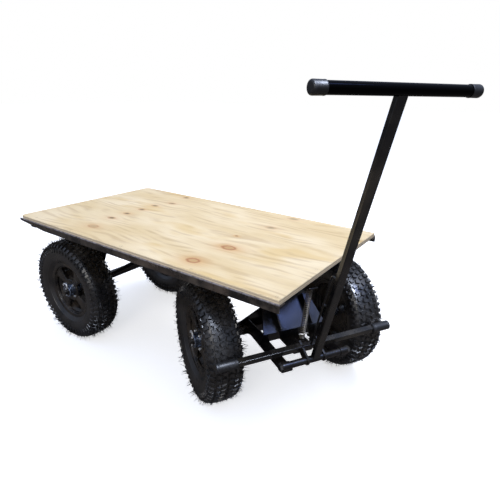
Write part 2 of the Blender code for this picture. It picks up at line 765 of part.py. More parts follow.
def arm_outline():
    """One drawbar arm seen from above, spreading into the axle beam with a round root."""
    start = BEAM_SIZE / 2 + GAP
    tip = HINGE_FORWARD + ARM_TIP_MARGIN
    root = arc(start + ARM_ROOT_ROUND, ARM_OUTER + ARM_ROOT_ROUND, ARM_ROOT_ROUND, 180, 270, 6)
    return [(start, ARM_INNER)] + root + [(tip, ARM_OUTER), (tip, ARM_INNER)]


def build_drawbar(steering):
    """Two arms with their welded knuckles, the middle bar and the hinge bolt."""
    centre = (HINGE_FORWARD, 0, HINGE_HEIGHT)
    for side, sign, outline in (("left", 1, arm_outline()), ("right", -1, mirrored(arm_outline()))):
        name = "drawbar_arm_" + side
        arm = prism(name, outline, ARM_BOTTOM, ARM_TOP, "XY", black_paint, steering)
        ends = sorted((sign * KNUCKLE_INNER, sign * ARM_OUTER))
        knuckle = bmesh.new()
        add_turned(knuckle, disc(KNUCKLE_RADIUS, *ends), ROUND_SEGMENTS, centre)
        combine(arm, finish(name + "_knuckle", knuckle, black_paint, steering), "UNION")
        bore = bmesh.new()
        add_turned(bore, disc(BORE_RADIUS, ends[0] - OVERRUN, ends[1] + OVERRUN), ROUND_SEGMENTS, centre)
        combine(arm, finish(name + "_bore", bore, black_paint, steering), "DIFFERENCE")
        apply_shapes(arm)
        smooth(arm)
    half = TONGUE_BAR_WIDTH / 2
    start = BEAM_SIZE / 2 + GAP
    outline = [(start, -half), (TONGUE_BAR_FORWARD, -half), (TONGUE_BAR_FORWARD, half), (start, half)]
    prism("drawbar_tongue", outline, ARM_BOTTOM, ARM_TOP, "XY", black_paint, steering)
    bolt = bmesh.new()
    add_turned(bolt, disc(HINGE_BOLT_RADIUS, -BOLT_HALF, BOLT_HALF), ROUND_SEGMENTS, centre)
    piece = finish("hinge_bolt", bolt, zinc, steering)
    for sign in (1, -1):
        ends = sorted((sign * BOLT_HALF, sign * (BOLT_HALF + HINGE_HEAD_HEIGHT)))
        head = bmesh.new()
        add_turned(head, disc(HINGE_HEAD_RADIUS, *ends), 6, centre)
        combine(piece, finish("hinge_bolt_head", head, zinc, steering), "UNION")
    apply_shapes(piece)
    smooth(piece)


def bar_centre():
    """Centre of the brake bar, forward and up from the axle's middle.

    The sleeves stand just clear of the tyres, on a line that rises from the axle.
    """
    reach = WHEEL_RADIUS / math.cos(math.pi / WHEEL_SEGMENTS) + PAD_CLEARANCE + SLEEVE_RADIUS
    return reach * math.cos(BAR_RISE), WHEEL_RADIUS + reach * math.sin(BAR_RISE)


def on_stem(forward, up):
    """A place beside the axle as distances across and along the stem from the hinge."""
    ahead = forward - HINGE_FORWARD
    above = up - HINGE_HEIGHT
    across = ahead * math.cos(HANDLE_TILT) - above * math.sin(HANDLE_TILT)
    along = ahead * math.sin(HANDLE_TILT) + above * math.cos(HANDLE_TILT)
    return across, along


def build_handle(handle):
    """Barrel, stem, T bar, brake bar, lugs, stay and spring seat."""
    turned(
        "hinge_barrel", tube_profile(BARREL_RADIUS, BORE_RADIUS, -BARREL_HALF, BARREL_HALF), ROUND_SEGMENTS,
        black_paint, handle)
    build_stem(handle)
    build_tbar(handle)
    build_brake_bar(handle)
    build_lugs(handle)
    build_stay(handle)
    build_seat(handle)


def build_stem(handle):
    """The rectangular stem, hollowed at both ends to sit on the barrel and under the T bar."""
    outline = rectangle(0, 0, STEM_DEPTH, STEM_WIDTH)
    stem = prism("handle_stem", outline, GAP, HANDLE_LENGTH, "XY", black_paint, handle)
    bevel(stem, STEM_EDGE_ROUND)
    notches = bmesh.new()
    add_turned(notches, disc(BARREL_RADIUS + GAP, -STEM_WIDTH, STEM_WIDTH), 24)
    add_turned(notches, disc(TBAR_RADIUS + GAP, -STEM_WIDTH, STEM_WIDTH), 24, (0, 0, HANDLE_LENGTH))
    combine(stem, finish("stem_notches", notches, black_paint, handle), "DIFFERENCE")
    apply_shapes(stem)
    smooth(stem)


def build_tbar(handle):
    """The T bar and the two domed caps over its ends."""
    holder = empty("tbar_axis", handle, (0, 0, HANDLE_LENGTH))
    end = TBAR_LENGTH / 2
    bar_end = end - CAP_WALL - GAP
    turned("handle_tbar", disc(TBAR_RADIUS, -bar_end, bar_end), ROUND_SEGMENTS, black_paint, holder)
    bore = TBAR_RADIUS + GAP
    mouth = end - CAP_LENGTH
    shoulder = CAP_RADIUS - CAP_WALL
    for side, sign in (("left", 1), ("right", -1)):
        profile = [
            (0, end - CAP_WALL), (bore, end - CAP_WALL), (bore, mouth), (CAP_RADIUS, mouth),
            (CAP_RADIUS, end - CAP_WALL), (shoulder, end), (0, end),
        ]
        placed = [(radius, sign * along) for radius, along in profile]
        turned("handle_cap_" + side, placed, ROUND_SEGMENTS, cap_plastic, holder)


def build_brake_bar(handle):
    """The square brake bar and the rubber sleeves that press on the tyres."""
    across, along = on_stem(*bar_centre())
    holder = empty("brake_bar_axis", handle, (across, 0, along))
    half = BAR_LENGTH / 2
    bar = prism("brake_bar", rectangle(0, 0, BAR_SIZE, BAR_SIZE), -half, half, "XZ", black_paint, holder)
    bevel(bar, BAR_EDGE_ROUND)
    core_size = BAR_SIZE + 2 * GAP
    for side, sign in (("left", 1), ("right", -1)):
        ends = sorted((sign * half, sign * (half - SLEEVE_LENGTH)))
        sleeve = turned(
            "brake_sleeve_" + side, disc(SLEEVE_RADIUS, *ends), ROUND_SEGMENTS, sleeve_rubber, holder)
        core = prism(
            "sleeve_core_" + side, rectangle(0, 0, core_size, core_size), ends[0] - OVERRUN,
            ends[1] + OVERRUN, "XZ", sleeve_rubber, holder)
        combine(sleeve, core, "DIFFERENCE")
        apply_shapes(sleeve)
        smooth(sleeve)


def build_lugs(handle):
    """Two plates beside the stem that join the brake bar to the barrel."""
    across, along = on_stem(*bar_centre())
    reach = BAR_SIZE + 2 * LUG_MARGIN
    ring = BARREL_RADIUS + LUG_MARGIN
    lean = math.degrees(math.atan2(along, across))
    back = rectangle(across, along, reach, reach)
    outline = arc(0, 0, ring, lean - 270, lean - 90, 8) + [back[3], back[0]]
    core = rectangle(across, along, BAR_SIZE + 2 * GAP, BAR_SIZE + 2 * GAP)
    for side, sign in (("left", 1), ("right", -1)):
        inner = STEM_WIDTH / 2 + LUG_FROM_STEM
        ends = sorted((sign * inner, sign * (inner + LUG_THICKNESS)))
        lug = prism("brake_lug_" + side, outline, *ends, "XZ", black_paint, handle)
        bores = bmesh.new()
        add_turned(bores, disc(BARREL_RADIUS + GAP, ends[0] - OVERRUN, ends[1] + OVERRUN), 24)
        add_prism(bores, core, ends[0] - OVERRUN, ends[1] + OVERRUN, "XZ")
        combine(lug, finish("lug_bores_" + side, bores, black_paint, handle), "DIFFERENCE")
        apply_shapes(lug)


def build_stay(handle):
    """A thin rod from the brake bar up behind the stem, bent over into the stem's back."""
    across, along = on_stem(*bar_centre())
    foot = along + BAR_SIZE / 2 + GAP
    line = across + BAR_SIZE / 2 - STAY_RADIUS
    back = -STEM_DEPTH / 2 - GAP
    curve = bpy.data.curves.new("stay_rod", "CURVE")
    curve.dimensions = "3D"
    spline = curve.splines.new("POLY")
    bend = arc(line + STAY_BEND, STAY_HEIGHT - STAY_BEND, STAY_BEND, 180, 90, 5)
    route = [(line, foot)] + bend + [(back, STAY_HEIGHT)]
    spline.points.add(len(route) - 1)
    for point, (x, z) in zip(spline.points, route):
        point.co = (x, 0, z, 1)
    curve.bevel_depth = STAY_RADIUS
    curve.bevel_resolution = 2
    curve.use_fill_caps = True
    piece = bpy.data.objects.new("stay_rod", curve)
    bpy.context.scene.collection.objects.link(piece)
    piece.parent = handle
    curve.materials.append(black_paint("stay_rod_finish"))


def build_seat(handle):
    """A tab behind the brake bar on which the return spring stands, level in the standing pose."""
    low = SEAT_HEIGHT - SEAT_THICKNESS
    back = SPRING_FOOT_FORWARD - SEAT_REACH
    middle_x, middle_z = on_stem(*bar_centre())
    face = middle_x - BAR_SIZE / 2 - GAP
    corners = [on_stem(back, low), on_stem(back, SEAT_HEIGHT)]
    slope = (math.cos(HANDLE_TILT), math.sin(HANDLE_TILT))
    for across, along in reversed(corners[:]):
        run = (face - across) / slope[0]
        corners.append((face, along + run * slope[1]))
    half = SEAT_WIDTH / 2
    prism("spring_seat", corners, -half, half, "XZ", black_paint, handle)


def spring_points():
    """The return spring's line: close end curls that lie flat, and even open curls between."""
    foot = Vector((SPRING_FOOT_FORWARD, 0, SEAT_HEIGHT + GAP + SPRING_WIRE_RADIUS))
    head = Vector((SPRING_TOP_FORWARD, 0, TABLE_BOTTOM - GAP - SPRING_WIRE_RADIUS))
    rise = head.z - foot.z
    end_rise = SPRING_END_CURLS * SPRING_END_PITCH
    open_curls = SPRING_CURLS - 2 * SPRING_END_CURLS
    open_pitch = (rise - 2 * end_rise) / open_curls
    points = []
    for step in range(SPRING_CURLS * CURL_POINTS + 1):
        curl = step / CURL_POINTS
        low = min(curl, SPRING_END_CURLS)
        high = max(curl - SPRING_CURLS + SPRING_END_CURLS, 0)
        height = (low + high) * SPRING_END_PITCH + (curl - low - high) * open_pitch
        turn = 2 * math.pi * curl
        centre = foot + (head - foot) * (height / rise)
        points.append(centre + SPRING_RADIUS * Vector((math.cos(turn), math.sin(turn), 0)))
    return points


def build_spring(steering):
    """The coil that pushes the brake bar down and so holds the handle up."""
    points = spring_points()
    curve = bpy.data.curves.new("return_spring", "CURVE")
    curve.dimensions = "3D"
    spline = curve.splines.new("POLY")
    spline.points.add(len(points) - 1)
    for point, place in zip(spline.points, points):
        point.co = (*place, 1)
    curve.bevel_depth = SPRING_WIRE_RADIUS
    curve.bevel_resolution = 1
    curve.use_fill_caps = True
    piece = bpy.data.objects.new("return_spring", curve)
    bpy.context.scene.collection.objects.link(piece)
    piece.parent = steering
    curve.materials.append(zinc("return_spring_finish"))
    near = [
        (first - second).length for index, first in enumerate(points)
        for second in points[index + CURL_POINTS // 2:]
    ]
    print("return_spring least gap to itself, metres:", round(min(near) - 2 * SPRING_WIRE_RADIUS, 5))


def tyre_profile():
    """Tyre section as (radius, distance from the middle): a hollow casing on two beads."""
    half = TYRE_WIDTH / 2
    tall = WHEEL_RADIUS - RIM_SEAT_RADIUS
    outer = WHEEL_RADIUS / math.cos(math.pi / WHEEL_SEGMENTS)
    bead = RIM_SEAT_RADIUS + GAP
    heel = RIM_WIDTH / 2 - RIM_SHEET - GAP
    toe = heel - TYRE_WALL
    outside_shares = ((0.32, 0.90), (0.60, 1.00), (0.84, 0.97), (0.96, 0.84))
    tread_share = 0.60
    inside_shares = ((0.84, 0.66), (0.42, 0.76))
    up = [(bead, toe), (bead, heel), (RIM_RADIUS + GAP, heel)]
    up += [(bead + tall * rise, half * out) for rise, out in outside_shares]
    up += [(outer, half * tread_share)]
    down = [(radius, -out) for radius, out in reversed(up)]
    inner = [(bead + tall * rise, half * out) for rise, out in inside_shares]
    inside = [(radius, -out) for radius, out in reversed(inner)] + inner
    return up + down + inside


def rim_profile():
    """Rim section: flanges, seats and a well, a disc near the outer flange and a web behind it."""
    half = RIM_WIDTH / 2
    sheet = RIM_SHEET
    seat = RIM_SEAT_RADIUS
    well = RIM_WELL_RADIUS
    disc_low = RIM_DISC_OFFSET
    disc_high = RIM_DISC_OFFSET + sheet
    web_high = sheet - RIM_WEB_OFFSET
    hub = HUB_RADIUS + GAP
    tyre_side = [
        (RIM_RADIUS, half), (RIM_RADIUS, half - sheet), (seat, half - sheet), (seat, half / 2),
        (well, half / 4), (well, -half / 4), (seat, -half / 2), (seat, sheet - half),
        (RIM_RADIUS, sheet - half), (RIM_RADIUS, -half),
    ]
    inner_side = [
        (seat - sheet, -half), (seat - sheet, -half / 2 - sheet), (well - sheet, -half / 4 - sheet),
        (well - sheet, -RIM_WEB_OFFSET), (hub, -RIM_WEB_OFFSET), (hub, web_high), (well - sheet, web_high),
        (well - sheet, half / 4 + sheet), (seat - sheet, half / 2 + sheet), (seat - sheet, disc_low),
        (hub, disc_low), (hub, disc_high), (seat - sheet, disc_high), (seat - sheet, half),
    ]
    return tyre_side + inner_side


def build_wheel(name, holder, sign):
    """Tyre, pressed rim and hub about the holder's Y axis; sign points to the outer side."""
    tyre = bmesh.new()
    add_turned(tyre, tyre_profile(), WHEEL_SEGMENTS, half_step=True)
    smooth(finish(name + "_tyre", tyre, tyre_rubber, holder))
    rim = turned(
        name + "_rim", [(radius, sign * out) for radius, out in rim_profile()], WHEEL_SEGMENTS,
        black_paint, holder, half_step=True)
    windows = bmesh.new()
    half_turn = RIM_WINDOW_ANGLE / 2
    outer_share = 0.85
    narrow = half_turn * outer_share
    for step in range(RIM_WINDOWS):
        middle = RIM_WINDOW_START + 360 * step / RIM_WINDOWS
        outline = arc(0, 0, RIM_WINDOW_OUTER, middle - narrow, middle + narrow, 4)
        outline += arc(0, 0, RIM_WINDOW_INNER, middle + half_turn, middle - half_turn, 4)
        add_prism(windows, outline, *sorted((sign * RIM_WIDTH / 4, sign * RIM_WIDTH / 2)), "XZ")
    combine(rim, finish(name + "_windows", windows, black_paint, holder), "DIFFERENCE")
    apply_shapes(rim)
    smooth(rim)
    build_hub(name, holder, sign)


def build_hub(name, holder, sign):
    """Hub with its bolting flange behind the rim's disc and a bearing's face at each end."""
    half = HUB_LENGTH / 2
    flange_high = RIM_DISC_OFFSET - GAP
    flange_low = flange_high - HUB_FLANGE_THICKNESS
    bore = SHAFT_BORE_RADIUS
    profile = [
        (bore, -half), (BEARING_RADIUS, -half), (BEARING_RADIUS, -half + HUB_FACE_STEP),
        (HUB_RADIUS, -half + HUB_FACE_STEP), (HUB_RADIUS, flange_low), (HUB_FLANGE_RADIUS, flange_low),
        (HUB_FLANGE_RADIUS, flange_high), (HUB_RADIUS, flange_high), (HUB_RADIUS, half - HUB_FACE_STEP),
        (BEARING_RADIUS, half - HUB_FACE_STEP), (BEARING_RADIUS, half), (bore, half),
    ]
    hub = bmesh.new()
    add_turned(hub, [(radius, sign * out) for radius, out in profile], ROUND_SEGMENTS)
    smooth(finish(name + "_hub", hub, black_paint, holder))


def build_wheels(root, steering):
    """The four wheels on their own axes."""
    places = (
        ("front_left", steering, 0, 1), ("front_right", steering, 0, -1),
        ("rear_left", root, REAR_AXLE_X, 1), ("rear_right", root, REAR_AXLE_X, -1),
    )
    for name, parent, along, sign in places:
        holder = empty(name + "_axis", parent, (along, sign * WHEEL_TRACK / 2, WHEEL_RADIUS))
        build_wheel(name, holder, sign)


def centre_on_box(root):
    """Move the cart so that the middle of its box's underside is the origin."""
    bpy.context.view_layer.update()
    depsgraph = bpy.context.evaluated_depsgraph_get()
    corners = []
    for thing in bpy.context.scene.objects:
        if thing.type not in {"MESH", "CURVE"}:
            continue
        evaluated = thing.evaluated_get(depsgraph)
        mesh = evaluated.to_mesh()
        corners += [evaluated.matrix_world @ corner.co for corner in mesh.vertices]
        evaluated.to_mesh_clear()
    low = [min(corner[axis] for corner in corners) for axis in range(3)]
    high = [max(corner[axis] for corner in corners) for axis in range(3)]
    root.location = (-(low[0] + high[0]) / 2, -(low[1] + high[1]) / 2, -low[2])


def main():
    """Build the cart in the pose of the photograph."""
    clear_scene()
    root = empty("cart")
    steering = empty("steering", root, (KING_PIN_FORWARD, 0, 0))
    handle = empty("handle", steering, (HINGE_FORWARD, 0, HINGE_HEIGHT))
    build_deck(root)
    build_rails(root)
    build_crosses(root)
    build_turntable_top(root)
    build_beam("rear_axle", REAR_AXLE_X, root, with_pin_hole=False)
    build_rear_supports(root)
    build_carriage(steering)
    build_beam("front_axle", 0, steering, with_pin_hole=True)
    build_axle_ends(root, steering)
    build_drawbar(steering)
    build_spring(steering)
    build_handle(handle)
    build_wheels(root, steering)
    steering.rotation_euler = (0, 0, STEER_ANGLE)
    handle.rotation_euler = (0, HANDLE_TILT, 0)
    centre_on_box(root)


main()
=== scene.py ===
"""Looks of the platform cart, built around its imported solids.

The camera, the floor and the lamps come first, then each sub-assembly of the cart.
Metres, in the solids' own frame: X to the front, Y to the left, Z up.
"""

import functools
import json
import logging
import math
from dataclasses import dataclass, field
from enum import Enum

import bmesh
import bpy
import numpy as np
from mathutils import Matrix, Vector

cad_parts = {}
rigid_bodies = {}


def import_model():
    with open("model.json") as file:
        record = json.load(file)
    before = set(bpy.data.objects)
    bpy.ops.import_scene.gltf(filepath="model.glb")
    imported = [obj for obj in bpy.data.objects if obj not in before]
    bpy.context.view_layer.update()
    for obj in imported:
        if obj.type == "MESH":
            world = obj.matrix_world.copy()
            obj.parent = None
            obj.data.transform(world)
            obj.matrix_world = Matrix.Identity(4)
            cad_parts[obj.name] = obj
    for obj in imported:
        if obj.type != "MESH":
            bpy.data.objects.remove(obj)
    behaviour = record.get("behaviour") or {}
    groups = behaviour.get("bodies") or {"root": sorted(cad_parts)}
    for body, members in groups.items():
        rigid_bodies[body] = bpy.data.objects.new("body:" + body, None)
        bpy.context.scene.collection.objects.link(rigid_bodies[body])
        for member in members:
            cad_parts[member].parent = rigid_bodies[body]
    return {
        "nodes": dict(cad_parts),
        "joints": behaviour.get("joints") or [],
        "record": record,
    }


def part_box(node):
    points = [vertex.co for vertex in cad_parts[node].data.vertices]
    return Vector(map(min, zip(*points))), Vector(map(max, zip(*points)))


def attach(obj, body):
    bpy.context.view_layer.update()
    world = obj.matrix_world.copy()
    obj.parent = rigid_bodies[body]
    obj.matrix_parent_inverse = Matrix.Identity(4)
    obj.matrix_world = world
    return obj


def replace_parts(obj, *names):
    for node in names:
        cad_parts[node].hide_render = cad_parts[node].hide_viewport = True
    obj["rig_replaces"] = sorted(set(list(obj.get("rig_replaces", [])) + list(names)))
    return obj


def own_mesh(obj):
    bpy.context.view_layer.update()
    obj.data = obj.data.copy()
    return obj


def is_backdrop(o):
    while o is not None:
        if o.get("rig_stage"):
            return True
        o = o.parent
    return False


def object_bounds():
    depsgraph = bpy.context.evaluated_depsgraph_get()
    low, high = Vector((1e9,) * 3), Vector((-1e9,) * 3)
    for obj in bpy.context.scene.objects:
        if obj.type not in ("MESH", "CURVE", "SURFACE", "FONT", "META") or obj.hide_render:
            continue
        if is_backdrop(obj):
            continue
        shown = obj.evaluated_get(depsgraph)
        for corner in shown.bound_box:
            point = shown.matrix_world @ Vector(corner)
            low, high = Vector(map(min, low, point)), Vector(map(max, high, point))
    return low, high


LOG = logging.getLogger("platform_cart")
UP = np.array((0.0, 0.0, 1.0))
FORWARD = np.array((1.0, 0.0, 0.0))
LEFTWARD = np.array((0.0, 1.0, 0.0))

# How far each point stays inside the cart's box
INSIDE = 1e-6
# Points closer than this become one
WELD = INSIDE * 5
# What a moulding hair keeps clear of the cart's box
HAIR_MARGIN = INSIDE * 500
# Rounding of the edges of plates and bars
EDGE = 0.0012
# Radius at which the front tyres' hairs end, short of the brake
BRAKE_REACH = 0.2036
# Height of the side rails' upper edge
RAIL_TOP = 0.472
# Height of the band along that edge that is painted light as a highlight of the sky
HIGHLIGHT_BAND = 0.0045
# Radius of the T bar, which its caps fit over
TBAR_RADIUS = 0.0122
# Radius of the axle bars
AXLE_RADIUS = 0.010
# Share of the vertical in an axis above which the axis counts as upright
UPRIGHT = 0.9


class Slot(Enum):
    """The record's material slots."""

    ENAMEL = "black_enamel"
    PLYWOOD = "pine_plywood"
    ZINC = "zinc_steel"
    TYRE = "tyre_rubber"
    SLEEVE = "sleeve_rubber"
    CAP = "cap_plastic"


class Side(Enum):
    """Side of the cart, with the sign of its distance from the middle."""

    LEFT = 1
    RIGHT = -1


# Surfaces


@dataclass(frozen=True)
class Surface:
    """Points of a mesh, and its faces in groups of equal corner count."""

    points: np.ndarray
    faces: tuple


@dataclass(frozen=True)
class Place:
    """A right-handed frame in the cart: its origin and, as rows, its three unit axes."""

    origin: np.ndarray
    axes: np.ndarray

    def put(self, surface: Surface) -> Surface:
        """The surface moved from this frame into the cart's: origin + x·X + y·Y + z·Z."""
        return Surface(self.origin + surface.points @ self.axes, surface.faces)


def unit(vector: np.ndarray) -> np.ndarray:
    """The vector, or each row of an array of them, at length one."""
    return vector / np.linalg.norm(vector, axis=-1, keepdims=True)


def place_along(origin: np.ndarray, axis: np.ndarray, hint: np.ndarray = UP) -> Place:
    """A frame whose Y runs along an axis.

    Args:
        origin: The frame's origin.
        axis: Its Y direction.
        hint: A direction that its Z leans towards.

    Returns:
        The frame with X = Y × Z.
    """
    along = unit(np.asarray(axis, float))
    across = unit(np.cross(along, np.asarray(hint, float)))
    return Place(np.asarray(origin, float), np.array((across, along, np.cross(across, along))))


def grid_surface(points: np.ndarray, wrap_rows: bool, wrap_columns: bool) -> Surface:
    """Quads between neighbouring points of a grid.

    Args:
        points: Array of rows, columns and 3.
        wrap_rows: Whether the last row joins the first.
        wrap_columns: Whether the last column joins the first.

    Returns:
        The surface with one point per grid point.
    """
    rows, columns = points.shape[:2]
    numbers = np.arange(rows * columns).reshape(rows, columns)
    down = np.roll(numbers, -1, axis=0)
    across = np.roll(numbers, -1, axis=1)
    both = np.roll(down, -1, axis=1)
    quads = np.stack((numbers, down, both, across), axis=-1)
    quads = quads[: rows if wrap_rows else rows - 1, : columns if wrap_columns else columns - 1]
    return Surface(points.reshape(-1, 3), (quads.reshape(-1, 4),))


def revolved(profile: np.ndarray, segments: int) -> Surface:
    """A closed profile turned about Y: (r·cos φ, y, r·sin φ) for each profile point (r, y).

    Args:
        profile: Rows of radius and distance along Y.
        segments: Steps of the angle φ.

    Returns:
        The closed surface.
    """
    angles = np.arange(segments) * (math.tau / segments)
    radius, along = np.asarray(profile, float).T
    across = np.outer(np.cos(angles), radius)
    upward = np.outer(np.sin(angles), radius)
    points = np.stack((across, np.broadcast_to(along, across.shape), upward), axis=-1)
    return grid_surface(points, True, True)


def swept(path: np.ndarray, radius: float, sides: int, hint: np.ndarray) -> Surface:
    """A round tube: p + r·(cos φ·a + sin φ·b), with a and b square to the path's run.

    Args:
        path: Points of the centre line.
        radius: The tube's radius r.
        sides: Steps of the angle φ.
        hint: A direction that is never along the path.

    Returns:
        The tube, with both ends closed.
    """
    path = np.asarray(path, float)
    run = unit(np.gradient(path, axis=0))
    first = unit(np.cross(run, np.asarray(hint, float)))
    second = np.cross(run, first)
    angles = np.arange(sides) * (math.tau / sides)
    cosines = np.cos(angles)[None, :, None]
    sines = np.sin(angles)[None, :, None]
    rings = path[:, None] + radius * (cosines * first[:, None] + sines * second[:, None])
    start = np.repeat(path[:1, None], sides, axis=1)
    end = np.repeat(path[-1:, None], sides, axis=1)
    return grid_surface(np.concatenate((start, rings, end)), False, True)


def joined(parts: list) -> Surface:
    """Several surfaces as one, with their faces' corners renumbered.

    Args:
        parts: The surfaces.

    Returns:
        The one surface.
    """
    starts = np.cumsum([0] + [len(part.points) for part in parts[:-1]])
    faces = tuple(group + start for part, start in zip(parts, starts) for group in part.faces)
    return Surface(np.concatenate([part.points for part in parts]), faces)


def repeated(template: Surface, sizes: np.ndarray, axes: np.ndarray, places: np.ndarray) -> Surface:
    """Copies of a small shape: place + (size · point) · axes, for all copies at once.

    Args:
        template: The shape.
        sizes: One size along each axis for each copy.
        axes: For each copy, its three axes as rows.
        places: For each copy, its origin.

    Returns:
        All copies as one surface.
    """
    scaled = template.points[None] * sizes[:, None]
    points = places[:, None] + np.einsum("mkj,mji->mki", scaled, axes)
    starts = np.arange(len(places))[:, None, None] * len(template.points)
    faces = tuple((group[None] + starts).reshape(-1, group.shape[1]) for group in template.faces)
    return Surface(points.reshape(-1, 3), faces)


def ring_stack(rings: list) -> Surface:
    """A closed shape of rings that lie one above another, capped at both ends.

    Args:
        rings: The rings, each with the same count of points.

    Returns:
        The closed surface.
    """
    points = np.array(rings, float)
    body = grid_surface(points, False, True)
    count = points.shape[1]
    last = (len(points) - 1) * count
    caps = np.array((np.arange(count)[::-1], np.arange(count) + last))
    return Surface(body.points, body.faces + (caps,))


def chaikin(points: np.ndarray, rounds: int) -> np.ndarray:
    """An open line with its corners cut at a quarter and three quarters of each run.

    Args:
        points: The line's points.
        rounds: How often all corners are cut.

    Returns:
        The smoother line, with the same ends.
    """
    near, far = 0.75, 0.25
    line = np.asarray(points, float)
    for _ in range(rounds):
        first = line[:-1] * near + line[1:] * far
        second = line[:-1] * far + line[1:] * near
        cut = np.stack((first, second), axis=1)
        line = np.concatenate((line[:1], cut.reshape(-1, line.shape[1]), line[-1:]))
    return line


def line_normals(run: np.ndarray) -> np.ndarray:
    """The unit vectors (-y, r) square to a flat line's unit run (r, y)."""
    return np.stack((-run[:, 1], run[:, 0]), axis=1)


def sheet_profile(line: np.ndarray, thickness: float) -> np.ndarray:
    """A closed profile around a line: the line moved by half the thickness to each side.

    Args:
        line: Rows of radius and distance along the axle.
        thickness: The sheet's thickness.

    Returns:
        The profile's points, once round.
    """
    normal = line_normals(unit(np.gradient(line, axis=0))) * (thickness / 2)
    return np.concatenate((line + normal, (line - normal)[::-1]))


def bar_profile(radius: float, low: float, high: float, edge: float) -> np.ndarray:
    """Profile of a solid round bar with chamfered ends.

    Args:
        radius: The bar's radius.
        low: Its lower end along the axis.
        high: Its upper end.
        edge: Size of the chamfer.

    Returns:
        Rows of radius and distance along the axis.
    """
    return np.array((
        (0, low), (radius - edge, low), (radius, low + edge),
        (radius, high - edge), (radius - edge, high), (0, high),
    ))


# Materials


FLOAT = "NodeSocketFloat"
VECTOR = "NodeSocketVector"


@dataclass(frozen=True)
class Speckle:
    """A noise: its fineness, octaves, their strength, stretch of its space, and the span that counts."""

    scale: float
    detail: float = 2.0
    rough: float = 0.5
    stretch: tuple = ()
    low: float = 0.0
    high: float = 1.0


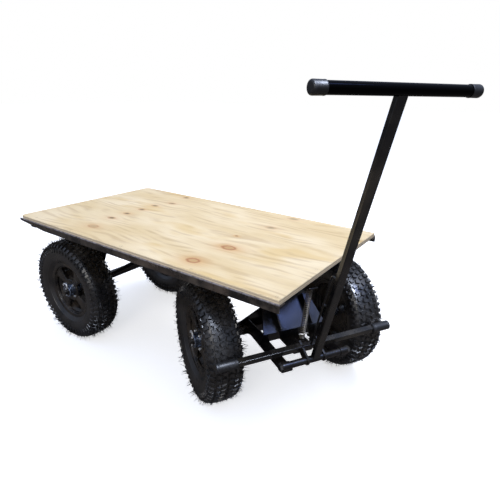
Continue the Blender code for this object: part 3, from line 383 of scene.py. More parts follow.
class Graph:
    """Short ways to add nodes to a shader tree and to join them."""

    FIRST_COLOUR = 6
    SECOND_COLOUR = 7
    MIXED_COLOUR = 2

    def __init__(self, tree: bpy.types.NodeTree) -> None:
        """Keep the node tree of a material, a group or the world."""
        self.tree = tree

    def add(self, kind: str, **settings: object) -> bpy.types.Node:
        """Add a shader node.

        Args:
            kind: Its type without the leading ShaderNode.
            settings: Its properties.

        Returns:
            The node.
        """
        node = self.tree.nodes.new("ShaderNode" + kind)
        for name, value in settings.items():
            setattr(node, name, value)
        return node

    def feed(self, socket: bpy.types.NodeSocket, value: object) -> None:
        """Join an output to a socket, or set the socket's own value.

        Args:
            socket: The input.
            value: An output socket, or a plain value.
        """
        if isinstance(value, bpy.types.NodeSocket):
            self.tree.links.new(value, socket)
        else:
            socket.default_value = value

    def math(
        self, operation: str, first: object, second: object = 0.0, clamp: bool = False,
    ) -> bpy.types.NodeSocket:
        """The result of one sum on two values.

        Args:
            operation: The sum's name in Blender.
            first: Its first value.
            second: Its second value.
            clamp: Whether the result is held between zero and one.

        Returns:
            The result.
        """
        node = self.add("Math", operation=operation, use_clamp=clamp)
        self.feed(node.inputs[0], first)
        self.feed(node.inputs[1], second)
        return node.outputs[0]

    def product(self, first: object, second: object, clamp: bool = False) -> bpy.types.NodeSocket:
        """The product of two values, held between zero and one where that is asked."""
        return self.math("MULTIPLY", first, second, clamp)

    def rising(self, value: object, factor: float, base: float) -> bpy.types.NodeSocket:
        """The sum base + factor · value.

        Args:
            value: A value that changes over the surface.
            factor: What it is multiplied by.
            base: What is added.

        Returns:
            The sum.
        """
        total = self.math("MULTIPLY_ADD", value, factor)
        total.node.inputs[2].default_value = base
        return total

    def bell(self, distance: object, fall: float) -> bpy.types.NodeSocket:
        """The bell e^(fall · distance²), for a negative fall."""
        return self.math("POWER", math.e, self.product(self.math("POWER", distance, 2.0), fall))

    def vector(
        self, operation: str, first: object, second: object = (0.0, 0.0, 0.0),
    ) -> bpy.types.Node:
        """A node that works on two vectors.

        Args:
            operation: The sum's name in Blender.
            first: Its first vector.
            second: Its second vector.

        Returns:
            The node.
        """
        node = self.add("VectorMath", operation=operation)
        self.feed(node.inputs[0], first)
        self.feed(node.inputs[1], second)
        return node

    def stretched(self, vector: object, factors: object) -> bpy.types.NodeSocket:
        """A vector with each of its parts multiplied."""
        return self.vector("MULTIPLY", vector, factors).outputs[0]

    def split(self, vector: object) -> bpy.types.Node:
        """A node that gives a vector's parts as its outputs X, Y and Z.

        Args:
            vector: The vector.

        Returns:
            The node.
        """
        node = self.add("SeparateXYZ")
        self.feed(node.inputs[0], vector)
        return node

    def remap(self, value: object, low: float, high: float) -> bpy.types.NodeSocket:
        """Zero at low, one at high, a smooth step between them, and held outside.

        Args:
            value: The value.
            low: Where the result is zero.
            high: Where it is one.

        Returns:
            The result.
        """
        node = self.add("MapRange", interpolation_type="SMOOTHSTEP")
        self.feed(node.inputs["Value"], value)
        node.inputs["From Min"].default_value = low
        node.inputs["From Max"].default_value = high
        return node.outputs["Result"]

    def noise(self, vector: object, speckle: Speckle) -> bpy.types.NodeSocket:
        """Noise between zero and one.

        Args:
            vector: The place on the surface.
            speckle: The noise's values.

        Returns:
            The noise.
        """
        node = self.add("TexNoise")
        place = self.stretched(vector, speckle.stretch) if speckle.stretch else vector
        self.feed(node.inputs["Vector"], place)
        node.inputs["Scale"].default_value = speckle.scale
        node.inputs["Detail"].default_value = speckle.detail
        node.inputs["Roughness"].default_value = speckle.rough
        return node.outputs["Fac"]

    def spots(self, vector: object, speckle: Speckle) -> bpy.types.NodeSocket:
        """The noise with its span spread from zero to one."""
        return self.remap(self.noise(vector, speckle), speckle.low, speckle.high)

    def mix(self, factor: object, first: object, second: object) -> bpy.types.NodeSocket:
        """A colour between two.

        Args:
            factor: The second colour's share.
            first: The first colour.
            second: The second colour.

        Returns:
            The mixed colour.
        """
        node = self.add("Mix", data_type="RGBA", blend_type="MIX")
        self.feed(node.inputs[0], factor)
        self.feed(node.inputs[self.FIRST_COLOUR], first)
        self.feed(node.inputs[self.SECOND_COLOUR], second)
        return node.outputs[self.MIXED_COLOUR]

    def group(self, effect: "Effect", **values: object) -> bpy.types.Node:
        """Place an effect's node group.

        Args:
            effect: The effect.
            values: What feeds each of its inputs, by the input's name.

        Returns:
            The group's node.
        """
        node = self.add("Group", node_tree=group_of(effect))
        for name, value in values.items():
            self.feed(node.inputs[name], value)
        return node


def new_group(name: str, inputs: dict, outputs: tuple) -> tuple:
    """A shader node group with named sockets.

    Args:
        name: The group's name.
        inputs: Socket type for each input's name.
        outputs: Names of the float outputs.

    Returns:
        The group, its graph, its input node's outputs and its output node's inputs.
    """
    tree = bpy.data.node_groups.new(name, "ShaderNodeTree")
    for label, kind in inputs.items():
        tree.interface.new_socket(name=label, in_out="INPUT", socket_type=kind)
    for label in outputs:
        tree.interface.new_socket(name=label, in_out="OUTPUT", socket_type=FLOAT)
    given = tree.nodes.new("NodeGroupInput").outputs
    result = tree.nodes.new("NodeGroupOutput").inputs
    return tree, Graph(tree), given, result


class Effect:
    """A look that several finishes share, made once as a shader node group."""

    def build(self) -> bpy.types.NodeTree:
        """Make the node group."""
        raise NotImplementedError


@functools.cache
def group_of(effect: Effect) -> bpy.types.NodeTree:
    """The one node group of an effect."""
    return effect.build()


@dataclass(frozen=True)
class EdgeWear(Effect):
    """Mask of worn edges: how far a rounded normal leaves the face's own, broken up by noise."""

    samples: int = 6
    bend_from: float = 0.02
    bend_full: float = 0.20
    breaks: Speckle = Speckle(140.0, 4.0, 0.7, low=0.46, high=0.66)

    def build(self) -> bpy.types.NodeTree:
        """Make the node group. Reach is the rounding's width, Amount the strength of the wear.

        Returns:
            The group, with its output Mask.
        """
        tree, graph, given, result = new_group(
            "edge_wear", {"Vector": VECTOR, "Reach": FLOAT, "Amount": FLOAT}, ("Mask",))
        rounded = graph.add("Bevel", samples=self.samples)
        graph.feed(rounded.inputs["Radius"], given["Reach"])
        plain = graph.add("NewGeometry").outputs["True Normal"]
        facing = graph.vector("DOT_PRODUCT", rounded.outputs[0], plain).outputs["Value"]
        bend = graph.remap(graph.math("SUBTRACT", 1.0, facing), self.bend_from, self.bend_full)
        broken = graph.product(bend, graph.spots(given["Vector"], self.breaks))
        graph.feed(result["Mask"], graph.product(broken, given["Amount"], clamp=True))
        return tree


@dataclass(frozen=True)
class Dust(Effect):
    """Mask of settled dust: on faces that look up, in soft patches."""

    patches: Speckle = Speckle(16.0, 5.0, 0.65, low=0.35, high=0.75)

    def build(self) -> bpy.types.NodeTree:
        """Make the node group.

        Amount is the dust's strength, and Floor its share on faces that don't look up.

        Returns:
            The group, with its output Mask.
        """
        tree, graph, given, result = new_group(
            "dust", {"Vector": VECTOR, "Amount": FLOAT, "Floor": FLOAT}, ("Mask",))
        normal = graph.split(graph.add("NewGeometry").outputs["Normal"])
        upward = graph.math("MAXIMUM", normal.outputs["Z"], given["Floor"])
        patchy = graph.product(upward, graph.spots(given["Vector"], self.patches))
        graph.feed(result["Mask"], graph.product(patchy, given["Amount"], clamp=True))
        return tree


@dataclass(frozen=True)
class Mottle(Effect):
    """Slow patches and fine grain, each between zero and one."""

    patch: Speckle = Speckle(9.0, 3.0)
    grain: Speckle = Speckle(900.0)

    def build(self) -> bpy.types.NodeTree:
        """Make the node group.

        Returns:
            The group, with its outputs Patch and Grain.
        """
        tree, graph, given, result = new_group("mottle", {"Vector": VECTOR}, ("Patch", "Grain"))
        graph.feed(result["Patch"], graph.noise(given["Vector"], self.patch))
        graph.feed(result["Grain"], graph.noise(given["Vector"], self.grain))
        return tree


@dataclass(frozen=True)
class KnotMask(Effect):
    """Masks of one knot at d = |(p - centre)·stretch|, with a ragged border.

    Ring and heart are smooth steps of d. The halo is e^(halo_fall · d²), and the grain's bend is
    bend · y · e^(bend_fall · d²), with y the distance across the deck from the knot.
    """

    border: Speckle = Speckle(1.3)
    border_share: float = 0.5
    ring_outside: tuple = (1.50, 1.05)
    ring_inside: tuple = (0.70, 1.10)
    heart: tuple = (1.10, 0.60)
    halo_fall: float = -0.21
    bend_fall: float = -0.09
    bend: float = -0.75

    def build(self) -> bpy.types.NodeTree:
        """Make the node group.

        Returns:
            The group, with its outputs Ring, Heart, Halo and Bend.
        """
        tree, graph, given, result = new_group(
            "knot", {"Vector": VECTOR, "Centre": VECTOR, "Stretch": VECTOR},
            ("Ring", "Heart", "Halo", "Bend"))
        away = graph.vector("SUBTRACT", given["Vector"], given["Centre"]).outputs[0]
        scaled = graph.stretched(away, given["Stretch"])
        distance = graph.vector("LENGTH", scaled).outputs["Value"]
        border = graph.product(graph.noise(scaled, self.border), self.border_share)
        ragged = graph.math("ADD", distance, border)
        outside = graph.remap(ragged, *self.ring_outside)
        graph.feed(result["Heart"], graph.remap(ragged, *self.heart))
        graph.feed(result["Ring"], graph.product(outside, graph.remap(ragged, *self.ring_inside)))
        graph.feed(result["Halo"], graph.bell(distance, self.halo_fall))
        pushed = graph.product(graph.split(away).outputs["Y"], graph.bell(distance, self.bend_fall))
        graph.feed(result["Bend"], graph.product(pushed, self.bend))
        return tree


EDGE_WEAR = EdgeWear()
DUST = Dust()
MOTTLE = Mottle()
KNOT_MASK = KnotMask()


class Finish:
    """What every finish shares: a slot, and a material whose nodes the subclass adds."""

    slot: Slot

    def dress(self, graph: Graph, shader: bpy.types.Node, place: bpy.types.NodeSocket) -> None:
        """Add the finish's own nodes.

        Args:
            graph: The material's graph.
            shader: Its Principled shader.
            place: Object coordinates.
        """
        raise NotImplementedError

    def bump(
        self, graph: Graph, shader: bpy.types.Node, height: object, depth: float, strength: float,
    ) -> None:
        """Feed a height to the shader's normal.

        Args:
            graph: The material's graph.
            shader: Its Principled shader.
            height: The height, from zero to one.
            depth: How deep one is, in metres.
            strength: The bump's strength.
        """
        node = graph.add("Bump")
        node.inputs["Strength"].default_value = strength
        node.inputs["Distance"].default_value = depth
        graph.feed(node.inputs["Height"], height)
        graph.feed(shader.inputs["Normal"], node.outputs[0])

    def settled(
        self, graph: Graph, place: bpy.types.NodeSocket, amount: float, floor: float,
    ) -> bpy.types.NodeSocket:
        """The mask of dust, by its amount and its share on faces that don't look up."""
        return graph.group(DUST, Vector=place, Amount=amount, Floor=floor).outputs["Mask"]

    def rubbed(
        self, graph: Graph, place: bpy.types.NodeSocket, reach: float, amount: float,
    ) -> bpy.types.NodeSocket:
        """The mask of worn edges, by the wear's width and its amount."""
        return graph.group(EDGE_WEAR, Vector=place, Reach=reach, Amount=amount).outputs["Mask"]


@functools.cache
def material_of(finish: Finish) -> bpy.types.Material:
    """The one material of a finish.

    Args:
        finish: The finish.

    Returns:
        Its material, made at the first call.
    """
    material = bpy.data.materials.new(type(finish).__name__ + "_" + finish.slot.value)
    material.use_nodes = True
    graph = Graph(material.node_tree)
    shader = material.node_tree.nodes["Principled BSDF"]
    finish.dress(graph, shader, graph.add("TexCoord").outputs["Object"])
    return material


@dataclass(frozen=True)
class Enamel(Finish):
    """Gloss black enamel on steel: orange peel, dust on top, brown bloom, steel showing at worn edges.

    Dust lies by the amount dusty, with the share settle on faces that don't look up. Above the
    height bare_from, which lies above the cart unless it is given, spots of the
    bare colour make a painted highlight band.
    """

    slot: Slot = Slot.ENAMEL
    dark: tuple = (0.0035, 0.0035, 0.0045, 1)
    brown: tuple = (0.014, 0.011, 0.008, 1)
    dust: tuple = (0.085, 0.070, 0.052, 1)
    bare: tuple = (0.16, 0.145, 0.13, 1)
    gloss: float = 0.13
    gloss_drift: float = 0.12
    shine: float = 0.5
    bloom_from: float = 0.45
    bloom_full: float = 0.75
    dusty: float = 0.16
    settle: float = 0.12
    dust_dulls: float = 0.8
    worn: float = 0.45
    wear_reach: float = 0.0016
    worn_metal: float = 0.7
    # Height above which a highlight band is painted on
    bare_from: float = 9.0
    bare_fade: float = 0.003
    scrapes: Speckle = Speckle(34.0, 5.0, 0.7, low=0.30, high=0.62)
    peel: Speckle = Speckle(260.0)
    peel_depth: float = 0.0004
    peel_strength: float = 0.16

    def dress(self, graph: Graph, shader: bpy.types.Node, place: bpy.types.NodeSocket) -> None:
        """Mix black, bloom, dust, worn steel and a painted highlight band; roughness follows the dust.

        Args:
            graph: The material's graph.
            shader: Its Principled shader.
            place: Object coordinates.
        """
        patch = graph.group(MOTTLE, Vector=place).outputs["Patch"]
        bloom = graph.remap(patch, self.bloom_from, self.bloom_full)
        colour = graph.mix(bloom, self.dark, self.brown)
        dust = self.settled(graph, place, self.dusty, self.settle)
        colour = graph.mix(dust, colour, self.dust)
        worn = self.rubbed(graph, place, self.wear_reach, self.worn)
        # Painted highlight: above bare_from, spots of the bare colour light up the top edge
        height = graph.split(place).outputs["Z"]
        painted_highlight = graph.product(
            graph.remap(height, self.bare_from, self.bare_from + self.bare_fade),
            graph.spots(place, self.scrapes))
        colour = graph.mix(graph.math("MAXIMUM", worn, painted_highlight), colour, self.bare)
        graph.feed(shader.inputs["Base Color"], colour)
        shader.inputs["Specular IOR Level"].default_value = self.shine
        rough = graph.rising(patch, self.gloss_drift, self.gloss)
        rough = graph.math("ADD", rough, graph.product(dust, self.dust_dulls), clamp=True)
        graph.feed(shader.inputs["Roughness"], rough)
        graph.feed(shader.inputs["Metallic"], graph.product(worn, self.worn_metal))
        self.bump(graph, shader, graph.noise(place, self.peel), self.peel_depth, self.peel_strength)


@dataclass(frozen=True)
class Zinc(Finish):
    """Zinc-plated steel, mottled and a little dull."""

    slot: Slot = Slot.ZINC
    bright: tuple = (0.58, 0.60, 0.63, 1)
    dull: tuple = (0.30, 0.29, 0.27, 1)
    dust: tuple = (0.20, 0.17, 0.13, 1)
    rough: float = 0.30
    rough_drift: float = 0.2
    metal: float = 0.95
    dusty: float = 0.18
    settle: float = 0.2
    spots: Speckle = Speckle(60.0, 5.0, 0.7, low=0.42, high=0.68)
    grain_depth: float = 0.0002
    grain_strength: float = 0.25

    def dress(self, graph: Graph, shader: bpy.types.Node, place: bpy.types.NodeSocket) -> None:
        """Patches of dull plating, with fine grain in the bump.

        Args:
            graph: The material's graph.
            shader: Its Principled shader.
            place: Object coordinates.
        """
        grain = graph.group(MOTTLE, Vector=place).outputs["Grain"]
        spots = graph.spots(place, self.spots)
        colour = graph.mix(spots, self.bright, self.dull)
        dust = self.settled(graph, place, self.dusty, self.settle)
        graph.feed(shader.inputs["Base Color"], graph.mix(dust, colour, self.dust))
        graph.feed(shader.inputs["Metallic"], graph.math("SUBTRACT", self.metal, dust, clamp=True))
        graph.feed(shader.inputs["Roughness"], graph.rising(spots, self.rough_drift, self.rough))
        self.bump(graph, shader, grain, self.grain_depth, self.grain_strength)


@dataclass(frozen=True)
class TyreRubber(Finish):
    """Moulded tyre rubber: deep black with a satin sheen, brown dust low in the tread."""

    slot: Slot = Slot.TYRE
    black: tuple = (0.0045, 0.0045, 0.005, 1)
    grey: tuple = (0.015, 0.015, 0.017, 1)
    soil: tuple = (0.080, 0.062, 0.045, 1)
    grey_from: float = 0.40
    grey_full: float = 0.75
    rough: float = 0.25
    rough_drift: float = 0.18
    shine: float = 0.8
    soiled: float = 0.45
    settle: float = 0.6
    worn: float = 0.45
    wear_reach: float = 0.0022
    grain_depth: float = 0.0004
    grain_strength: float = 0.35

    def dress(self, graph: Graph, shader: bpy.types.Node, place: bpy.types.NodeSocket) -> None:
        """Black with greyer patches and worn lug edges, dusted.

        Args:
            graph: The material's graph.
            shader: Its Principled shader.
            place: Object coordinates.
        """
        mottle = graph.group(MOTTLE, Vector=place)
        patch = graph.remap(mottle.outputs["Patch"], self.grey_from, self.grey_full)
        colour = graph.mix(patch, self.black, self.grey)
        worn = self.rubbed(graph, place, self.wear_reach, self.worn)
        colour = graph.mix(worn, colour, self.grey)
        dust = self.settled(graph, place, self.soiled, self.settle)
        graph.feed(shader.inputs["Base Color"], graph.mix(dust, colour, self.soil))
        shader.inputs["Specular IOR Level"].default_value = self.shine
        rough = graph.rising(patch, self.rough_drift, self.rough)
        graph.feed(shader.inputs["Roughness"], graph.math("ADD", rough, dust, clamp=True))
        self.bump(graph, shader, mottle.outputs["Grain"], self.grain_depth, self.grain_strength)


@dataclass(frozen=True)
class Moulded(Finish):
    """Soft black rubber or plastic with a fine grain."""

    slot: Slot = Slot.SLEEVE
    black: tuple = (0.012, 0.012, 0.013, 1)
    grey: tuple = (0.040, 0.039, 0.038, 1)
    rough: float = 0.45
    rough_drift: float = 0.2
    scuffs: Speckle = Speckle(75.0, 4.0, 0.7, low=0.50, high=0.72)
    scuffed: float = 0.6
    worn: float = 0.6
    wear_reach: float = 0.0018
    grain_depth: float = 0.0003
    grain_strength: float = 0.4

    def dress(self, graph: Graph, shader: bpy.types.Node, place: bpy.types.NodeSocket) -> None:
        """Scuffs over black, with a grain in the bump.

        Args:
            graph: The material's graph.
            shader: Its Principled shader.
            place: Object coordinates.
        """
        grain = graph.group(MOTTLE, Vector=place).outputs["Grain"]
        scuff = graph.spots(place, self.scuffs)
        worn = self.rubbed(graph, place, self.wear_reach, self.worn)
        mask = graph.math("MAXIMUM", graph.product(scuff, self.scuffed), worn)
        graph.feed(shader.inputs["Base Color"], graph.mix(mask, self.black, self.grey))
        graph.feed(shader.inputs["Roughness"], graph.rising(scuff, self.rough_drift, self.rough))
        self.bump(graph, shader, grain, self.grain_depth, self.grain_strength)


# The rails' bare colour is a light lilac grey: along worn edges it shows as worn steel, and in the band
# at the top edge it is a painted highlight of the sky. Their brown bloom and the dust that also lies on
# upright faces make the sides lighter brown, partly as a painted reflection of the ground.
RAIL_ENAMEL = Enamel(
    brown=(0.075, 0.055, 0.042, 1), dust=(0.17, 0.135, 0.105, 1), bare=(0.42, 0.40, 0.44, 1),
    dusty=0.6, settle=0.9, worn=1.0, bare_from=RAIL_TOP - HIGHLIGHT_BAND)
RIM_ENAMEL = Enamel(dust=(0.150, 0.115, 0.080, 1), dusty=0.55, settle=0.6, worn=0.4)
# The handle's brown bloom and dust are partly a painted reflection of the brown ground.
HANDLE_ENAMEL = Enamel(brown=(0.030, 0.026, 0.020, 1), dusty=0.30, settle=0.6)
TBAR_ENAMEL = Enamel(
    dark=(0.0012, 0.0012, 0.0016, 1), brown=(0.0012, 0.0012, 0.0016, 1),
    gloss=0.07, dusty=0.0, worn=0.2, shine=0.04)
PIN_STEEL = Zinc(
    bright=(0.80, 0.82, 0.85, 1), dull=(0.50, 0.49, 0.46, 1), rough=0.38, metal=0.45)
SPRING_STEEL = Zinc(
    bright=(0.26, 0.23, 0.19, 1), dull=(0.10, 0.085, 0.07, 1), rough=0.34, metal=0.8)
DARK_STEEL = Zinc(bright=(0.10, 0.095, 0.09, 1), dull=(0.035, 0.03, 0.025, 1), rough=0.36)
SCREW_STEEL = Zinc(bright=(0.34, 0.27, 0.18, 1))
# The hub's plating is tinted blue as a painted reflection of the sky.
HUB_PAINTED_REFLECTION = Zinc(
    Slot.ENAMEL, bright=(0.36, 0.43, 0.58, 1), dull=(0.13, 0.16, 0.22, 1), rough=0.16)
CAP_PLASTIC = Moulded(
    Slot.CAP, black=(0.0045, 0.0045, 0.0055, 1), grey=(0.016, 0.016, 0.018, 1), rough=0.42)


@dataclass(frozen=True)
class Knot:
    """A knot in the top veneer.

    It has its place along and across the deck from the middle, its half sizes, and the depth of
    its ring and of its heart.
    """

    along: float
    across: float
    length: float
    width: float
    depth: float
    heart: float


@dataclass(frozen=True)
class PinePlywood(Finish):
    """Pine plywood: peeled grain that bends round knots on the faces, stacked plies on the edges."""

    slot: Slot = Slot.PLYWOOD
    centre: tuple = (0.0, 0.0, 0.0)
    bottom: float = 0.0
    thickness: float = 0.015
    pale: tuple = (0.740, 0.575, 0.315, 1)
    cream: tuple = (0.880, 0.745, 0.510, 1)
    late: tuple = (0.455, 0.295, 0.130, 1)
    yellow: tuple = (0.700, 0.490, 0.175, 1)
    knot_dark: tuple = (0.150, 0.105, 0.038, 1)
    knot_ring: tuple = (0.380, 0.130, 0.040, 1)
    knot_halo: tuple = (0.640, 0.340, 0.110, 1)
    halo_strength: float = 0.75
    knots: tuple = (
        Knot(-0.283, -0.131, 0.018, 0.012, 0.45, 0.9), Knot(-0.287, -0.055, 0.017, 0.011, 0.45, 0.9),
        Knot(-0.287, 0.021, 0.017, 0.011, 0.45, 0.85), Knot(-0.291, 0.097, 0.018, 0.012, 0.4, 0.8),
        Knot(-0.264, 0.171, 0.019, 0.012, 0.4, 0.6), Knot(-0.288, 0.286, 0.018, 0.012, 0.4, 0.8),
        Knot(-0.247, -0.237, 0.024, 0.015, 0.5, 0.3), Knot(0.277, -0.114, 0.026, 0.017, 0.85, 0.2),
        Knot(0.260, -0.260, 0.023, 0.016, 0.85, 0.2), Knot(0.278, 0.292, 0.026, 0.014, 0.25, 0.5),
        Knot(0.269, 0.142, 0.023, 0.015, 0.25, 0.5), Knot(0.226, -0.007, 0.006, 0.004, 1.0, 1.0),
    )
    drift: Speckle = Speckle(1.6, stretch=(0.9, 3.0, 1.0))
    drift_reach: float = 0.30
    line_rate: float = 95.0
    line_from: float = 0.55
    line_strength: float = 0.38
    breaks: Speckle = Speckle(2.4, 3.0, stretch=(2.2, 9.0, 1.0), low=0.42, high=0.62)
    fibre: Speckle = Speckle(1.0, 3.0, stretch=(9.0, 330.0, 1.0), low=0.48, high=0.74)
    fibre_strength: float = 0.22
    tone: Speckle = Speckle(2.1, 3.0, stretch=(1.2, 3.4, 1.0), low=0.3, high=0.7)
    stain: Speckle = Speckle(3.1, stretch=(1.0, 2.6, 1.0), low=0.52, high=0.68)
    stain_strength: float = 0.60
    rough: float = 0.42
    rough_drift: float = 0.22
    relief: float = 0.0005
    relief_strength: float = 0.30
    line_relief: float = 0.6
    plies: int = 5
    ply_light: tuple = (1.000, 0.860, 0.600, 1)
    ply_dark: tuple = (0.700, 0.540, 0.360, 1)
    ply_blend: float = 0.25
    ply_border: Speckle = Speckle(45.0, 4.0)
    ply_border_reach: float = 0.07
    end_grain: Speckle = Speckle(420.0, stretch=(1.0, 1.0, 6.0))
    end_grain_strength: float = 0.25
    face_above: float = 0.75
    edge_below: float = 0.60

    def dress(self, graph: Graph, shader: bpy.types.Node, place: bpy.types.NodeSocket) -> None:
        """Veneer on the faces, plies on the edges, by the normal's height.

        Args:
            graph: The material's graph.
            shader: Its Principled shader.
            place: Object coordinates.
        """
        centred = graph.vector("SUBTRACT", place, self.centre).outputs[0]
        flat = graph.stretched(centred, (1.0, 1.0, 0.0))
        ring, heart, halo, bend = self.knot_masks(graph, flat)
        late = self.late_wood(graph, flat, bend)
        fibre = graph.noise(flat, self.fibre)
        colour = graph.mix(graph.spots(flat, self.tone), self.pale, self.cream)
        stain = graph.product(graph.spots(flat, self.stain), self.stain_strength)
        colour = graph.mix(stain, colour, self.yellow)
        colour = graph.mix(graph.product(late, self.line_strength), colour, self.late)
        streak = graph.remap(fibre, self.fibre.low, self.fibre.high)
        colour = graph.mix(graph.product(streak, self.fibre_strength), colour, self.late)
        halo = graph.product(halo, self.halo_strength, clamp=True)
        colour = graph.mix(halo, colour, self.knot_halo)
        colour = graph.mix(ring, colour, self.knot_ring)
        colour = graph.mix(heart, colour, self.knot_dark)
        normal = graph.split(graph.add("NewGeometry").outputs["True Normal"])
        steep = graph.math("ABSOLUTE", normal.outputs["Z"])
        edge = graph.remap(steep, self.face_above, self.edge_below)
        colour = graph.mix(edge, colour, self.edge_colour(graph, place))
        graph.feed(shader.inputs["Base Color"], colour)
        graph.feed(shader.inputs["Roughness"], graph.rising(fibre, self.rough_drift, self.rough))
        height = graph.math("SUBTRACT", fibre, graph.product(late, self.line_relief))
        self.bump(graph, shader, height, self.relief, self.relief_strength)

    def late_wood(
        self, graph: Graph, flat: bpy.types.NodeSocket, bend: bpy.types.NodeSocket,
    ) -> bpy.types.NodeSocket:
        """The dark lines of late wood: high values of |sin(rate·(y + drift + bend))|, in runs.

        Args:
            graph: The material's graph.
            flat: Place on the deck from its middle.
            bend: The grain's bend round the knots.

        Returns:
            The mask of the lines.
        """
        slow = graph.math("SUBTRACT", graph.noise(flat, self.drift), 0.5)
        drift = graph.product(slow, self.drift_reach)
        line = graph.math("ADD", graph.math("ADD", graph.split(flat).outputs["Y"], drift), bend)
        wave = graph.math("ABSOLUTE", graph.math("SINE", graph.product(line, self.line_rate)))
        return graph.product(graph.remap(wave, self.line_from, 1.0), graph.spots(flat, self.breaks))

    def knot_masks(self, graph: Graph, flat: bpy.types.NodeSocket) -> tuple:
        """The masks of all knots together.

        Args:
            graph: The material's graph.
            flat: Place on the deck from its middle.

        Returns:
            The ring, the heart, the halo and the grain's bend.
        """
        ring: object = 0.0
        heart: object = 0.0
        halo: object = 0.0
        bend: object = 0.0
        for knot in self.knots:
            node = graph.group(
                KNOT_MASK, Vector=flat, Centre=(knot.along, knot.across, 0.0),
                Stretch=(1 / knot.length, 1 / knot.width, 0.0))
            ring = graph.math("MAXIMUM", ring, graph.product(node.outputs["Ring"], knot.depth))
            heart = graph.math("MAXIMUM", heart, graph.product(node.outputs["Heart"], knot.heart))
            halo = graph.math("ADD", halo, graph.product(node.outputs["Halo"], knot.depth))
            bend = graph.math("ADD", bend, node.outputs["Bend"])
        return ring, heart, halo, bend

    def edge_colour(self, graph: Graph, place: bpy.types.NodeSocket) -> bpy.types.NodeSocket:
        """Light and dark plies by sin(π·plies·(level + ragged border)), with end grain.

        Args:
            graph: The material's graph.
            place: Object coordinates.

        Returns:
            The edge's colour.
        """
        above = graph.math("SUBTRACT", graph.split(place).outputs["Z"], self.bottom)
        level = graph.math("DIVIDE", above, self.thickness)
        border = graph.math("SUBTRACT", graph.noise(place, self.ply_border), 0.5)
        level = graph.math("ADD", level, graph.product(border, self.ply_border_reach))
        wave = graph.math("SINE", graph.product(level, math.pi * self.plies))
        light = graph.remap(wave, -self.ply_blend, self.ply_blend)
        ply = graph.mix(light, self.ply_dark, self.ply_light)
        grain = graph.product(graph.noise(place, self.end_grain), self.end_grain_strength)
        return graph.mix(grain, ply, self.ply_dark)


# Pieces


@dataclass
class Workshop:
    """Turns surfaces into dressed pieces that ride on the cart's bodies and stay inside its box."""

    low: np.ndarray
    high: np.ndarray
    count: int = 0
    flat_within: float = 1.0
    plate_sharp: float = 30.0
    rounded_above: float = 35.0
    rounding_steps: int = 2

    def make(
        self, name: str, surface: Surface, finish: Finish, body: str,
        stands_for: tuple = (), sharp: float = 35.0,
    ) -> bpy.types.Object:
        """Build one piece.

        Args:
            name: The piece's name.
            surface: Its surface in the cart's frame.
            finish: Its finish.
            body: The body that it rides on.
            stands_for: Nodes that it replaces.
            sharp: Angle in degrees above which an edge stays sharp.

        Returns:
            The finished object, at the origin.
        """
        points = np.clip(surface.points, self.low + INSIDE, self.high - INSIDE)
        faces = [face for group in surface.faces for face in group.tolist()]
        mesh = bpy.data.meshes.new(name)
        mesh.from_pydata(points.tolist(), [], faces)
        shape = bmesh.new()
        shape.from_mesh(mesh)
        bmesh.ops.remove_doubles(shape, verts=shape.verts, dist=WELD)
        bmesh.ops.recalc_face_normals(shape, faces=shape.faces)
        shape.to_mesh(mesh)
        shape.free()
        return self.dress(name, mesh, finish, body, stands_for, sharp)

    def dress(
        self, name: str, mesh: bpy.types.Mesh, finish: Finish, body: str,
        stands_for: tuple, sharp: float,
    ) -> bpy.types.Object:
        """Shade a mesh, give it its material and put it on its body.

        Args:
            name: The piece's name.
            mesh: Its mesh.
            finish: Its finish.
            body: The body that it rides on.
            stands_for: Nodes that it replaces.
            sharp: Angle in degrees above which an edge stays sharp.

        Returns:
            The object.
        """
        mesh.shade_smooth()
        mesh.set_sharp_from_angle(angle=math.radians(sharp))
        mesh.materials.clear()
        mesh.materials.append(material_of(finish))
        piece = bpy.data.objects.new(name, mesh)
        bpy.context.scene.collection.objects.link(piece)
        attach(piece, body)
        if stands_for:
            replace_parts(piece, *stands_for)
        self.count += 1
        LOG.info("%-28s %7d faces on %s", name, len(mesh.polygons), body)
        return piece

    def soften(
        self, name: str, node: bpy.types.Object, finish: Finish, body: str, width: float,
    ) -> bpy.types.Object:
        """A copy of a plate or bar with its flat faces merged and its edges rounded.

        Args:
            name: The piece's name.
            node: The node that it replaces.
            finish: Its finish.
            body: The body that it rides on.
            width: Width of the rounding.

        Returns:
            The piece.
        """
        mesh = node.data.copy()
        shape = bmesh.new()
        shape.from_mesh(mesh)
        bmesh.ops.remove_doubles(shape, verts=shape.verts, dist=WELD)
        bmesh.ops.dissolve_limit(
            shape, angle_limit=math.radians(self.flat_within), verts=shape.verts, edges=shape.edges)
        shape.to_mesh(mesh)
        shape.free()
        piece = self.dress(name, mesh, finish, body, (node.name,), self.plate_sharp)
        rounding = piece.modifiers.new("edges", "BEVEL")
        rounding.width = width
        rounding.segments = self.rounding_steps
        rounding.limit_method = "ANGLE"
        rounding.angle_limit = math.radians(self.rounded_above)
        rounding.use_clamp_overlap = True
        return piece

    def redress(self, node: bpy.types.Object, finish: Finish) -> None:
        """Give a node of the solids a finish without replacing its shape.

        Args:
            node: The node.
            finish: Its finish.
        """
        node.data.materials.clear()
        node.data.materials.append(material_of(finish))
        LOG.info("%-28s dressed", node.name)


def box_of(node: str) -> tuple:
    """Lowest and highest corner of a node as arrays."""
    low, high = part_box(node)
    return np.array(low), np.array(high)


def middle_of(node: str) -> np.ndarray:
    """The middle of a node's box."""
    low, high = box_of(node)
    return (low + high) / 2


